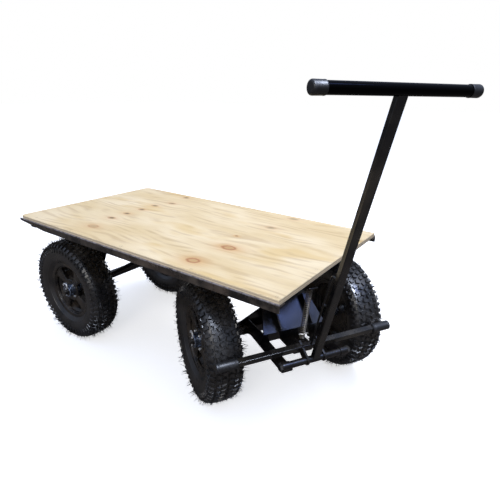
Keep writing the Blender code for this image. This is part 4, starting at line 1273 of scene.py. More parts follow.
def bar_ends(node: str, axis: np.ndarray, radius: float) -> tuple:
    """Ends of a round bar's centre line, worked out from its box.

    The box reaches half the length times the axis plus r·√(1 - axis²) along each direction.

    Args:
        node: The bar's node.
        axis: Its unit axis.
        radius: Its radius r.

    Returns:
        The start and the end.
    """
    low, high = box_of(node)
    main = int(np.argmax(np.abs(axis)))
    across = radius * math.sqrt(max(0.0, 1 - axis[main] ** 2))
    half = ((high - low)[main] / 2 - across) / abs(axis[main])
    middle = (low + high) / 2
    return middle - axis * half, middle + axis * half


@dataclass
class PhotoCamera:
    """The camera at the photograph's viewing angle."""

    position: tuple = (0.8795, -1.0427, 0.9373)
    heading: float = -35.15
    pitch: float = 20.72
    roll: float = 0.93
    focal_px: float = 413.5
    frame_px: float = 500.0
    film: float = 36.0
    nearest: float = 0.05

    def build(self) -> None:
        """Place the camera and make it the scene's."""
        heading, pitch, roll = (math.radians(a) for a in (self.heading, self.pitch, self.roll))
        level_share = math.cos(pitch)
        ahead = Vector((
            math.sin(heading) * level_share, math.cos(heading) * level_share, -math.sin(pitch)))
        level = ahead.cross(Vector(UP)).normalized()
        upward = level.cross(ahead)
        right = level * math.cos(roll) + upward * math.sin(roll)
        top = upward * math.cos(roll) - level * math.sin(roll)
        data = bpy.data.cameras.new("photo_camera")
        data.sensor_width = self.film
        data.lens = self.focal_px / self.frame_px * self.film
        data.clip_start = self.nearest
        camera = bpy.data.objects.new("photo_camera", data)
        bpy.context.scene.collection.objects.link(camera)
        turned = Matrix((right, top, -ahead)).transposed().to_4x4()
        camera.matrix_world = Matrix.Translation(Vector(self.position)) @ turned
        bpy.context.scene.camera = camera


class Lights(Enum):
    """What a lamp lights: everything, only matt colour, or only gloss."""

    ALL = 0
    DULL = 1
    GLOSS = 2


@dataclass(frozen=True)
class Lamp:
    """A square lamp: its place, what it points at, side, power, colour, and what it lights."""

    name: str
    place: tuple
    target: tuple
    size: float
    power: float
    colour: tuple
    lights: Lights

    def build(self) -> None:
        """Hang the lamp."""
        data = bpy.data.lights.new(self.name, "AREA")
        data.size = self.size
        data.energy = self.power
        data.color = self.colour
        lamp = bpy.data.objects.new(self.name, data)
        lamp.location = self.place
        aim = Vector(self.target) - Vector(self.place)
        lamp.rotation_euler = aim.to_track_quat("-Z", "Y").to_euler()
        lamp.visible_diffuse = self.lights is not Lights.GLOSS
        lamp.visible_glossy = self.lights is not Lights.DULL
        bpy.context.scene.collection.objects.link(lamp)


@dataclass
class Studio:
    """A pale floor and backdrop, a soft sky that tints what the paint reflects, and four lamps."""

    floor_size: float = 60.0
    floor_tone: tuple = (0.90, 0.90, 0.90, 1)
    floor_light: tuple = (1, 1, 1, 1)
    floor_glow: float = 0.62
    floor_rough: float = 0.9
    bounce_tone: tuple = (0.155, 0.130, 0.105, 1)
    backdrop: tuple = (1.0, 1.0, 1.0, 1)
    sky_stops: tuple = (
        (0.47, (0.10, 0.085, 0.07, 1)), (0.53, (0.20, 0.21, 0.23, 1)),
        (0.70, (0.36, 0.42, 0.56, 1)), (1.00, (0.62, 0.74, 1.05, 1)),
    )
    lamps: tuple = (
        Lamp("overhead", place=(0.2, 1.2, 3.2), target=(-0.1, 0.0, 0.3), size=2.4, power=70.0,
             colour=(1.0, 0.97, 0.93), lights=Lights.DULL),
        Lamp("side", place=(1.2, -3.0, 2.2), target=(0.0, 0.0, 0.4), size=1.4, power=34.0,
             colour=(1.0, 0.94, 0.85), lights=Lights.ALL),
        Lamp("blue_sheen", place=(2.34, 0.43, 3.23), target=(0.31, -0.015, 0.29), size=0.8,
             power=17.0, colour=(0.26, 0.38, 1.0), lights=Lights.GLOSS),
        Lamp("white_sheen", place=(1.7, -0.5, 3.2), target=(0.1, -0.2, 0.3), size=0.9,
             power=230.0, colour=(0.74, 0.82, 1.0), lights=Lights.GLOSS),
    )

    def build(self) -> None:
        """Add the floor, the surround and the lights."""
        self.build_floor()
        self.build_sky()
        for lamp in self.lamps:
            lamp.build()
        bpy.context.scene.view_settings.view_transform = "Standard"

    def build_floor(self) -> None:
        """A large square that the camera sees near white and that throws little light back up."""
        half = self.floor_size / 2
        corners = [(-half, -half, 0), (half, -half, 0), (half, half, 0), (-half, half, 0)]
        mesh = bpy.data.meshes.new("floor")
        mesh.from_pydata(corners, [], [(0, 1, 2, 3)])
        floor = bpy.data.objects.new("floor", mesh)
        material = bpy.data.materials.new("floor_paper")
        material.use_nodes = True
        graph = Graph(material.node_tree)
        seen = graph.add("LightPath").outputs["Is Camera Ray"]
        shader = material.node_tree.nodes["Principled BSDF"]
        tone = graph.mix(seen, self.bounce_tone, self.floor_tone)
        graph.feed(shader.inputs["Base Color"], tone)
        shader.inputs["Roughness"].default_value = self.floor_rough
        shader.inputs["Emission Color"].default_value = self.floor_light
        graph.feed(shader.inputs["Emission Strength"], graph.product(seen, self.floor_glow))
        mesh.materials.append(material)
        bpy.context.scene.collection.objects.link(floor)
        floor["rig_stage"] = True

    def build_sky(self) -> None:
        """White to the camera; else a ramp by half the direction's height plus a half."""
        world = bpy.data.worlds.new("surround")
        world.use_nodes = True
        graph = Graph(world.node_tree)
        direction = graph.split(graph.add("TexCoord").outputs["Generated"])
        ramp = graph.add("ValToRGB")
        graph.feed(ramp.inputs[0], graph.rising(direction.outputs["Z"], 0.5, 0.5))
        stops = ramp.color_ramp.elements
        for index, (level, colour) in enumerate(self.sky_stops):
            stop = stops[index] if index < len(stops) else stops.new(level)
            stop.position = level
            stop.color = colour
        seen = graph.add("LightPath").outputs["Is Camera Ray"]
        shown = graph.mix(seen, ramp.outputs["Color"], self.backdrop)
        graph.feed(world.node_tree.nodes["Background"].inputs["Color"], shown)
        bpy.context.scene.world = world


@dataclass(frozen=True)
class LugRow:
    """A row of tread blocks.

    It has its distance from the crown, its shift as a share of the pitch, the blocks' length,
    width and height, and their turn in degrees.
    """

    away: float
    shift_share: float
    length: float
    width: float
    height: float
    turn: float


@dataclass
class Tyre:
    """A knobby air-filled tyre with its moulding hairs.

    outline is half the section as (radius, distance along the axle), and ridges holds each moulded
    line's radius, half width and height.
    """

    outline: tuple = (
        (0.1150, 0.0345), (0.1215, 0.0395), (0.1340, 0.0475), (0.1520, 0.0518), (0.1700, 0.0516),
        (0.1825, 0.0468), (0.1900, 0.0370), (0.1928, 0.0210), (0.1935, 0.0),
    )
    smoothing: int = 3
    bead_radius: float = 0.1040
    bead_half: float = 0.0312
    segments: int = 168
    pitches: int = 56
    rows: tuple = (
        LugRow(0.0098, 0.0, 0.0128, 0.0150, 0.0058, 20.0),
        LugRow(-0.0098, 0.5, 0.0128, 0.0150, 0.0058, 20.0),
        LugRow(0.0280, 0.30, 0.0120, 0.0125, 0.0058, -16.0),
        LugRow(-0.0280, 0.80, 0.0120, 0.0125, 0.0058, -16.0),
        LugRow(0.0455, 0.55, 0.0108, 0.0165, 0.0056, 0.0),
        LugRow(-0.0455, 0.05, 0.0108, 0.0165, 0.0056, 0.0),
        LugRow(0.0640, 0.05, 0.0090, 0.0150, 0.0026, 0.0),
        LugRow(-0.0640, 0.55, 0.0090, 0.0150, 0.0026, 0.0),
    )
    block_steps: tuple = ((-0.15, 1.0), (0.72, 0.95), (1.0, 0.80))
    ridges: tuple = (
        (0.1745, 0.0012, 0.0008), (0.1480, 0.0010, 0.0005),
        (0.1285, 0.0012, 0.0010), (0.1240, 0.0008, 0.0006),
    )
    hairs: int = 1200
    hair_radius: float = 0.00115
    hair_lengths: tuple = (0.011, 0.026)
    hair_spread: float = 0.060
    hair_lean: float = 0.45
    hair_reach: float = 0.2120
    hair_sides: int = 3
    hair_steps: tuple = ((0, 1.0), (1, 0.35))
    hair_hint: tuple = (0.1, 0.2, 0)

    def section(self) -> tuple:
        """The smoothed outer line from bead to bead.

        Returns:
            Its points, outward normals, run, and distance from the crown along the line.
        """
        half = np.array(self.outline)
        other = half[::-1][1:] * (1, -1)
        line = chaikin(np.concatenate((half, other)), self.smoothing)
        run = unit(np.gradient(line, axis=0))
        steps = np.linalg.norm(np.diff(line, axis=0), axis=1)
        lengths = np.concatenate(([0], np.cumsum(steps)))
        return line, line_normals(run), run, lengths[-1] / 2 - lengths

    def carcass(self) -> Surface:
        """The casing: the line raised by h·exp(-((r - c)/w)²) at each ridge, closed inside at the bead.

        Returns:
            The closed surface about the axle.
        """
        line, normal, _, _ = self.section()
        raised = np.zeros(len(line))
        for centre, width, height in self.ridges:
            raised += height * np.exp(-(((line[:, 0] - centre) / width) ** 2))
        outer = line + normal * raised[:, None]
        bead = ((self.bead_radius, -self.bead_half), (self.bead_radius, self.bead_half))
        return revolved(np.concatenate((outer, bead)), self.segments)

    def on_section(self, away: np.ndarray) -> tuple:
        """What the section has at distances from the crown.

        Args:
            away: The distances.

        Returns:
            The place, the outward normal and the run there.
        """
        line, normal, run, distance = self.section()
        order = np.argsort(distance)
        looked_up = [
            np.stack([np.interp(away, distance[order], part[order, axis]) for axis in (0, 1)], axis=1)
            for part in (line, normal, run)
        ]
        return looked_up[0], unit(looked_up[1]), unit(looked_up[2])

    def in_space(self, flat: np.ndarray, angles: np.ndarray) -> np.ndarray:
        """Vectors (r, y) of the section turned to each angle: (r·cos φ, y, r·sin φ)."""
        return np.stack((flat[:, 0] * np.cos(angles), flat[:, 1], flat[:, 0] * np.sin(angles)), axis=1)

    def lugs(self) -> Surface:
        """Every tread block of every row, as copies of one chamfered block.

        Returns:
            The blocks as one surface about the axle.
        """
        corners = np.array(((-0.5, -0.5), (0.5, -0.5), (0.5, 0.5), (-0.5, 0.5)))
        block = ring_stack([
            np.column_stack((corners * share, np.full(len(corners), level)))
            for level, share in self.block_steps
        ])
        parts = []
        for row in self.rows:
            angles = (np.arange(self.pitches) + row.shift_share) * (math.tau / self.pitches)
            spot, normal, run = self.on_section(np.full(self.pitches, row.away))
            outward = self.in_space(normal, angles)
            sideways = self.in_space(run, angles)
            around = np.cross(sideways, outward)
            turn = math.radians(row.turn) * math.copysign(1, row.away)
            length_axis = around * math.cos(turn) + sideways * math.sin(turn)
            width_axis = sideways * math.cos(turn) - around * math.sin(turn)
            axes = np.stack((length_axis, width_axis, outward), axis=1)
            sizes = np.tile((row.length, row.width, row.height), (self.pitches, 1))
            parts.append(repeated(block, sizes, axes, self.in_space(spot, angles)))
        return joined(parts)

    def moulding_hairs(self, seed: int, place: Place, low: np.ndarray, high: np.ndarray) -> Surface:
        """Thin tapered hairs that lean at random, cut short at the cart's box and at the reach.

        A hair p + t·d ends at the reach R where t = (√(b² + a·(R² - |p|²)) - b) / a, with p and d
        taken square to the axle, a = |d|² and b = p·d.

        Args:
            seed: Seed of the random draws.
            place: The wheel's frame.
            low: Lowest corner of the cart's box.
            high: Its highest corner.

        Returns:
            The hairs as one surface in the cart's frame.
        """
        dice = np.random.default_rng(seed)
        angles = dice.uniform(0, math.tau, self.hairs)
        away = dice.uniform(-self.hair_spread, self.hair_spread, self.hairs)
        spot, normal, _ = self.on_section(away)
        lean = dice.normal(0, self.hair_lean, (self.hairs, 3))
        foot = self.in_space(spot, angles)
        leaning = unit(self.in_space(normal, angles) + lean)
        root, outward = place.origin + foot @ place.axes, leaning @ place.axes
        square = np.array((1.0, 0.0, 1.0))
        rate = leaning**2 @ square
        towards = (foot * leaning) @ square
        room_out = self.hair_reach**2 - foot**2 @ square
        reach = (np.sqrt(towards**2 + rate * room_out) - towards) / rate
        with np.errstate(divide="ignore"):
            walls = np.where(outward > 0, (high - root) / outward, (low - root) / outward)
        wished = dice.uniform(*self.hair_lengths, self.hairs)
        length = np.minimum(np.minimum(wished, reach), walls.min(axis=1) - HAIR_MARGIN)
        kept = length > self.hair_lengths[0] / 2
        first = unit(np.cross(outward, UP + np.array(self.hair_hint)))
        axes = np.stack((first, np.cross(outward, first), outward), axis=1)[kept]
        angle = np.arange(self.hair_sides) * (math.tau / self.hair_sides)
        ring = np.stack((np.cos(angle), np.sin(angle)), axis=1)
        hair = ring_stack([
            np.column_stack((ring * share, np.full(self.hair_sides, level)))
            for level, share in self.hair_steps
        ])
        thin = np.full(self.hairs, self.hair_radius)
        sizes = np.stack((thin, thin, length), axis=1)[kept]
        return repeated(hair, sizes, axes, root[kept])


@dataclass
class Rim:
    """A pressed rim with rolled flanges, a windowed disc, a closed web behind it, bolts and a valve.

    barrel, ring, dish and web are middle lines of the sheet as (radius, distance along the axle).
    The valve's root and tip are (share of its radius, distance from the foot or from the end).
    """

    sheet: float = 0.0026
    smoothing: int = 2
    segments: int = 120
    barrel: tuple = (
        (0.1150, 0.0310), (0.1142, 0.0328), (0.1120, 0.0330), (0.1080, 0.0327), (0.1035, 0.0322),
        (0.1012, 0.0305), (0.1002, 0.0270), (0.1000, 0.0180), (0.0985, 0.0150), (0.0900, 0.0085),
        (0.0887, 0.0060), (0.0887, 0.0),
    )
    ring: tuple = (
        (0.1000, 0.0250), (0.0993, 0.0268), (0.0980, 0.0274), (0.0966, 0.0272), (0.0958, 0.0255),
        (0.0956, 0.0235),
    )
    dish: tuple = ((0.0243, 0.0272), (0.0380, 0.0272), (0.0420, 0.0265), (0.0440, 0.0240))
    web: tuple = (
        (0.0890, -0.0028), (0.0700, -0.0028), (0.0560, -0.0005), (0.0300, -0.0005),
        (0.0243, -0.0028),
    )
    windows: int = 4
    first_window: float = -7.0
    spoke_inner: float = 0.0425
    spoke_outer: float = 0.0975
    spoke_half_inner: float = 0.0115
    spoke_half_outer: float = 0.0265
    spoke_rows: int = 21
    spoke_columns: int = 17
    spoke_level: float = 0.0272
    spoke_drop: float = 0.0035
    spoke_widest: float = 0.9
    fillet: float = 0.012
    bolt_circle: float = 0.0310
    bolt_radius: float = 0.0046
    bolt_sides: int = 6
    bolt_lift: float = 0.0012
    bolt_steps: tuple = ((0.0, 1.0), (0.0042, 1.0), (0.0050, 0.88))
    washer_share: float = 1.35
    washer_low: float = -0.0002
    washer_high: float = 0.0013
    washer_edge: float = 0.0003
    washer_segments: int = 24
    valve_turn: float = 90.0
    valve_circle: float = 0.0820
    valve_foot: float = 0.0180
    valve_length: float = 0.0150
    valve_radius: float = 0.0030
    valve_root: tuple = ((0, 0), (1.6, 0), (1.3, 0.003), (1, 0.006))
    valve_tip: tuple = ((1, -0.006), (1.15, -0.0055), (1.15, -0.001), (0.8, 0), (0, 0))
    valve_segments: int = 16

    def turned(self) -> Surface:
        """The parts of revolution: barrel, outer ring, dish and web, each a sheet turned about Y.

        Returns:
            The four as one surface.
        """
        half = np.array(self.barrel)
        whole = np.concatenate((half, half[::-1][1:] * (1, -1)))
        lines = [chaikin(line, self.smoothing) for line in (whole, self.ring, self.dish, self.web)]
        return joined([revolved(sheet_profile(line, self.sheet), self.segments) for line in lines])

    def spoke_angles(self) -> np.ndarray:
        """The angles of the spokes, each half a window's pitch on from a window."""
        pitch = 360 / self.windows
        return np.radians(self.first_window + pitch / 2 + np.arange(self.windows) * pitch)

    def spoke(self) -> Surface:
        """One web between two windows, upright.

        Half width w(r) runs from the inner to the outer value and opens by f - √(f² - (f - d)²)
        within a fillet f of each end. Across the spoke the sheet falls by drop·u⁶ at its edges.

        Returns:
            The closed surface.
        """
        across = np.linspace(-1, 1, self.spoke_columns)
        radius = np.linspace(self.spoke_inner, self.spoke_outer, self.spoke_rows)
        share = (radius - self.spoke_inner) / (self.spoke_outer - self.spoke_inner)
        width = self.spoke_half_inner + (self.spoke_half_outer - self.spoke_half_inner) * share
        for distance in (radius - self.spoke_inner, self.spoke_outer - radius):
            inside = np.clip(self.fillet - distance, 0, self.fillet)
            width = width + self.fillet - np.sqrt(self.fillet**2 - inside**2)
        side = np.outer(width, across)
        level = self.spoke_level - self.spoke_drop * np.broadcast_to(across**6, side.shape)
        widest = (radius[:, None] * self.spoke_widest) ** 2
        reach = np.sqrt(radius[:, None] ** 2 - np.minimum(side**2, widest))
        front = np.stack((side, level, reach), axis=-1)
        back = front - np.array((0.0, self.sheet, 0.0))
        loop = np.concatenate((front, back[:, ::-1]), axis=1)
        inner, outer = (
            np.repeat(row.mean(axis=1, keepdims=True), loop.shape[1], axis=1)
            for row in (loop[:1], loop[-1:])
        )
        return grid_surface(np.concatenate((inner, loop, outer)), False, True)

    def spokes(self) -> Surface:
        """The webs between the windows: one spoke turned about the axle to each angle.

        Returns:
            The spokes as one surface.
        """
        turns = self.spoke_angles() - math.pi / 2
        zeros, ones = np.zeros(self.windows), np.ones(self.windows)
        axes = np.stack((
            np.stack((np.cos(turns), zeros, np.sin(turns)), axis=1),
            np.stack((zeros, ones, zeros), axis=1),
            np.stack((-np.sin(turns), zeros, np.cos(turns)), axis=1),
        ), axis=1)
        sizes = np.ones((self.windows, 3))
        return repeated(self.spoke(), sizes, axes, np.zeros((self.windows, 3)))

    def bolts(self) -> Surface:
        """Hexagon bolts with washers on the spokes.

        Returns:
            Bolts and washers as one surface.
        """
        angle = np.arange(self.bolt_sides) * (math.tau / self.bolt_sides)
        radius = self.bolt_radius
        head = ring_stack([
            np.column_stack((
                np.cos(angle) * radius * share, np.full(len(angle), level),
                np.sin(angle) * radius * share))
            for level, share in self.bolt_steps
        ])
        washer = revolved(bar_profile(
            radius * self.washer_share, self.washer_low, self.washer_high, self.washer_edge),
            self.washer_segments)
        turns = self.spoke_angles()
        places = np.stack((
            np.cos(turns) * self.bolt_circle, np.full(self.windows, self.spoke_level),
            np.sin(turns) * self.bolt_circle), axis=1)
        axes = np.tile(np.eye(3), (self.windows, 1, 1))
        ones = np.ones((self.windows, 3))
        heads = repeated(head, ones, axes, places + (0, self.bolt_lift, 0))
        return joined([heads, repeated(washer, ones, axes, places)])

    def valve(self) -> Surface:
        """The valve's rubber stem with its cap: a stepped profile turned about its own line.

        Returns:
            The closed surface.
        """
        low, high = self.valve_foot, self.valve_foot + self.valve_length
        profile = [(self.valve_radius * share, low + rise) for share, rise in self.valve_root]
        profile += [(self.valve_radius * share, high + rise) for share, rise in self.valve_tip]
        turn = math.radians(self.first_window + self.valve_turn)
        stem = revolved(np.array(profile), self.valve_segments)
        shift = (math.cos(turn) * self.valve_circle, 0, math.sin(turn) * self.valve_circle)
        return Surface(stem.points + np.array(shift), stem.faces)


@dataclass
class Hub:
    """The hub's tube with its stepped ends, and the bearing seals in them."""

    radius: float = 0.0238
    half: float = 0.0448
    chamfer: float = 0.0015
    flange: float = 0.0370
    flange_low: float = 0.0216
    flange_high: float = 0.0256
    bore: float = 0.0106
    throat_clear: float = 0.002
    throat_depth: float = 0.004
    seal: float = 0.0178
    seal_seat: float = 0.002
    seal_inset: float = 0.0006
    seal_thickness: float = 0.0030
    seal_clear: float = 0.0002
    groove_half: float = 0.0009
    groove_floor_half: float = 0.0005
    groove_depth: float = 0.0009
    segments: int = 64

    def body(self) -> Surface:
        """The hub's profile turned about the axle.

        Returns:
            The closed surface.
        """
        high, low = self.half, -self.half
        throat = self.bore + self.throat_clear
        profile = (
            (self.seal, low), (self.radius - self.chamfer, low), (self.radius, low + self.chamfer),
            (self.radius, self.flange_low), (self.flange, self.flange_low),
            (self.flange, self.flange_high), (self.radius, self.flange_high),
            (self.radius, high - self.chamfer), (self.radius - self.chamfer, high),
            (self.seal, high), (self.seal, high - self.seal_seat),
            (throat, high - self.throat_depth), (throat, low + self.throat_depth),
            (self.seal, low + self.seal_seat),
        )
        return revolved(np.array(profile), self.segments)

    def seals(self) -> Surface:
        """A ring in each end with a groove round its middle.

        Returns:
            Both rings as one surface.
        """
        middle = (self.bore + self.seal) / 2
        high = self.half - self.seal_inset
        low = high - self.seal_thickness
        outer = self.seal - self.seal_clear
        floor = high - self.groove_depth
        ring = np.array((
            (self.bore, low), (outer, low), (outer, high), (middle + self.groove_half, high),
            (middle + self.groove_floor_half, floor), (middle - self.groove_floor_half, floor),
            (middle - self.groove_half, high), (self.bore, high),
        ))
        return joined([revolved(ring * (1, sign), self.segments) for sign in (1, -1)])


@dataclass
class Wheel:
    """One wheel: tyre, rim and hub on its axle, and the split pin that holds it."""

    name: str
    side: Side
    joint: dict
    pin_node: str
    pin_body: str
    tyre: Tyre = field(default_factory=Tyre)
    rim: Rim = field(default_factory=Rim)
    hub: Hub = field(default_factory=Hub)
    tyre_sharp: float = 38.0
    rim_sharp: float = 40.0
    pin_wire: float = 0.0026
    pin_sides: int = 12
    pin_sharp: float = 60.0
    pin_foot: float = 0.0160
    leg_steps: int = 12
    eye_radius: float = 0.0115
    eye_up: float = 0.0237
    eye_angles: tuple = (-90, 175)
    eye_steps: int = 44

    def place(self) -> Place:
        """The wheel's frame, with Y along the axle to the outer side."""
        outward = np.array(self.joint["axis"], float) * self.side.value
        return place_along(np.array(self.joint["pos_m"], float), outward)

    def build(self, shop: Workshop, seed: int) -> None:
        """Make the wheel's pieces.

        Args:
            shop: The workshop.
            seed: Seed of the moulding hairs.
        """
        place = self.place()
        body = self.joint["child"]
        hairs = self.tyre.moulding_hairs(seed, place, shop.low, shop.high)
        casing = joined([place.put(self.tyre.carcass()), place.put(self.tyre.lugs()), hairs])
        shop.make(
            self.name + "_knobby_tyre", casing, TyreRubber(), body, (self.name + "_tyre",),
            self.tyre_sharp)
        pressing = place.put(joined([self.rim.turned(), self.rim.spokes()]))
        shop.make(
            self.name + "_pressed_rim", pressing, RIM_ENAMEL, body, (self.name + "_rim",),
            self.rim_sharp)
        shop.make(self.name + "_rim_bolts", place.put(self.rim.bolts()), Zinc(), body)
        shop.make(self.name + "_valve", place.put(self.rim.valve()), Moulded(), body)
        tube = place.put(self.hub.body())
        shop.make(self.name + "_hub_tube", tube, HUB_PAINTED_REFLECTION, body, (self.name + "_hub",))
        shop.make(self.name + "_hub_seals", place.put(self.hub.seals()), DARK_STEEL, body)
        self.build_pin(shop, place)

    def build_pin(self, shop: Workshop, place: Place) -> None:
        """The split pin: a straight leg through the axle, and an eye that is bent round and left open.

        The eye's centre line is c + r·(cos φ·a + sin φ·up), with a across the axle.

        Args:
            shop: The workshop.
            place: The wheel's frame.
        """
        middle = middle_of(self.pin_node)
        foot = np.array((middle[0], middle[1], place.origin[2] - self.pin_foot))
        eye = np.array((middle[0], middle[1], place.origin[2] + self.eye_up))
        across = place.axes[0] * self.side.value
        angles = np.radians(np.linspace(*self.eye_angles, self.eye_steps))
        loop = eye + self.eye_radius * (np.outer(np.cos(angles), across) + np.outer(np.sin(angles), UP))
        leg = np.linspace(foot, loop[0], self.leg_steps)[:-1]
        wire = swept(np.concatenate((leg, loop)), self.pin_wire, self.pin_sides, place.axes[1])
        shop.make(
            self.pin_node + "_wire", wire, PIN_STEEL, self.pin_body, (self.pin_node,),
            self.pin_sharp)


@dataclass
class RoundPart:
    """A round bar or tube that a finer turning stands for."""

    node: str
    body: str
    axis: np.ndarray
    finish: Finish
    radius: float
    bore: float = 0.0
    edge: float = 0.001
    segments: int = 48

    def build(self, shop: Workshop) -> None:
        """Turn the bar between the ends that its box gives.

        Args:
            shop: The workshop.
        """
        start, end = bar_ends(self.node, self.axis, self.radius)
        length = float(np.linalg.norm(end - start))
        hint = UP if abs(self.axis[2]) < UPRIGHT else FORWARD
        place = place_along((start + end) / 2, self.axis, hint)
        profile = bar_profile(self.radius, -length / 2, length / 2, self.edge)
        if self.bore:
            profile[[0, -1], 0] = self.bore
        turned = place.put(revolved(profile, self.segments))
        shop.make(self.node + "_turned", turned, self.finish, self.body, (self.node,))


@dataclass
class Deck:
    """The plywood deck and the screws that hold it down, placed from the deck's middle."""

    node: str = "deck_panel"
    screw_radius: float = 0.0042
    screw_depth: float = 0.0012
    screw_rings: int = 9
    screw_segments: int = 32
    recess_depth: float = 0.0009
    recess_share: float = 0.16
    recess_full: float = 1.6
    recess_fall: float = 2.2
    screws: tuple = (
        (0.576, -0.308), (0.576, 0.308), (0.583, 0.202), (0.576, -0.100), (0.0, -0.311),
        (0.0, 0.311), (-0.505, -0.305), (-0.505, 0.305), (-0.272, -0.311), (-0.272, 0.311),
        (0.300, -0.311), (0.300, 0.311),
    )

    def build(self, shop: Workshop, nodes: dict) -> None:
        """Dress the panel and sink the screws.

        Args:
            shop: The workshop.
            nodes: The frame's nodes by name.
        """
        low, high = box_of(self.node)
        middle = (low + high) / 2
        finish = PinePlywood(
            centre=(float(middle[0]), float(middle[1]), 0.0), bottom=float(low[2]),
            thickness=float(high[2] - low[2]))
        shop.redress(nodes[self.node], finish)
        self.build_screws(shop, middle, float(high[2]))

    def screw_head(self) -> Surface:
        """A countersunk head with a cross recess, its top at zero.

        The top falls by depth·exp(-(min(|u|, |v|)/w)²) in the cross, which fades towards the edge.

        Returns:
            The closed surface.
        """
        steps = np.linspace(0, 1, self.screw_rings)
        angles = np.arange(self.screw_segments) * (math.tau / self.screw_segments)
        across = np.outer(steps, np.cos(angles)) * self.screw_radius
        along = np.outer(steps, np.sin(angles)) * self.screw_radius
        slot = self.screw_radius * self.recess_share
        cross = np.exp(-((np.minimum(np.abs(across), np.abs(along)) / slot) ** 2))
        outward = np.hypot(across, along)
        inside = np.clip(self.recess_full - self.recess_fall * outward / self.screw_radius, 0, 1)
        top = np.stack((across, along, -self.recess_depth * cross * inside), axis=-1)
        rim = top[-1:] * (1, 1, 0) + (0, 0, -self.screw_depth)
        base = np.zeros_like(rim) + (0, 0, -self.screw_depth)
        return grid_surface(np.concatenate((top, rim, base)), False, True)

    def build_screws(self, shop: Workshop, middle: np.ndarray, top: float) -> None:
        """One head for each screw, level with the deck.

        Args:
            shop: The workshop.
            middle: The deck's middle.
            top: Height of its top.
        """
        count = len(self.screws)
        spots = np.column_stack((np.array(self.screws) + middle[:2], np.full(count, top)))
        axes = np.tile(np.eye(3), (count, 1, 1))
        heads = repeated(self.screw_head(), np.ones((count, 3)), axes, spots)
        shop.make("deck_screws", heads, SCREW_STEEL, "frame")


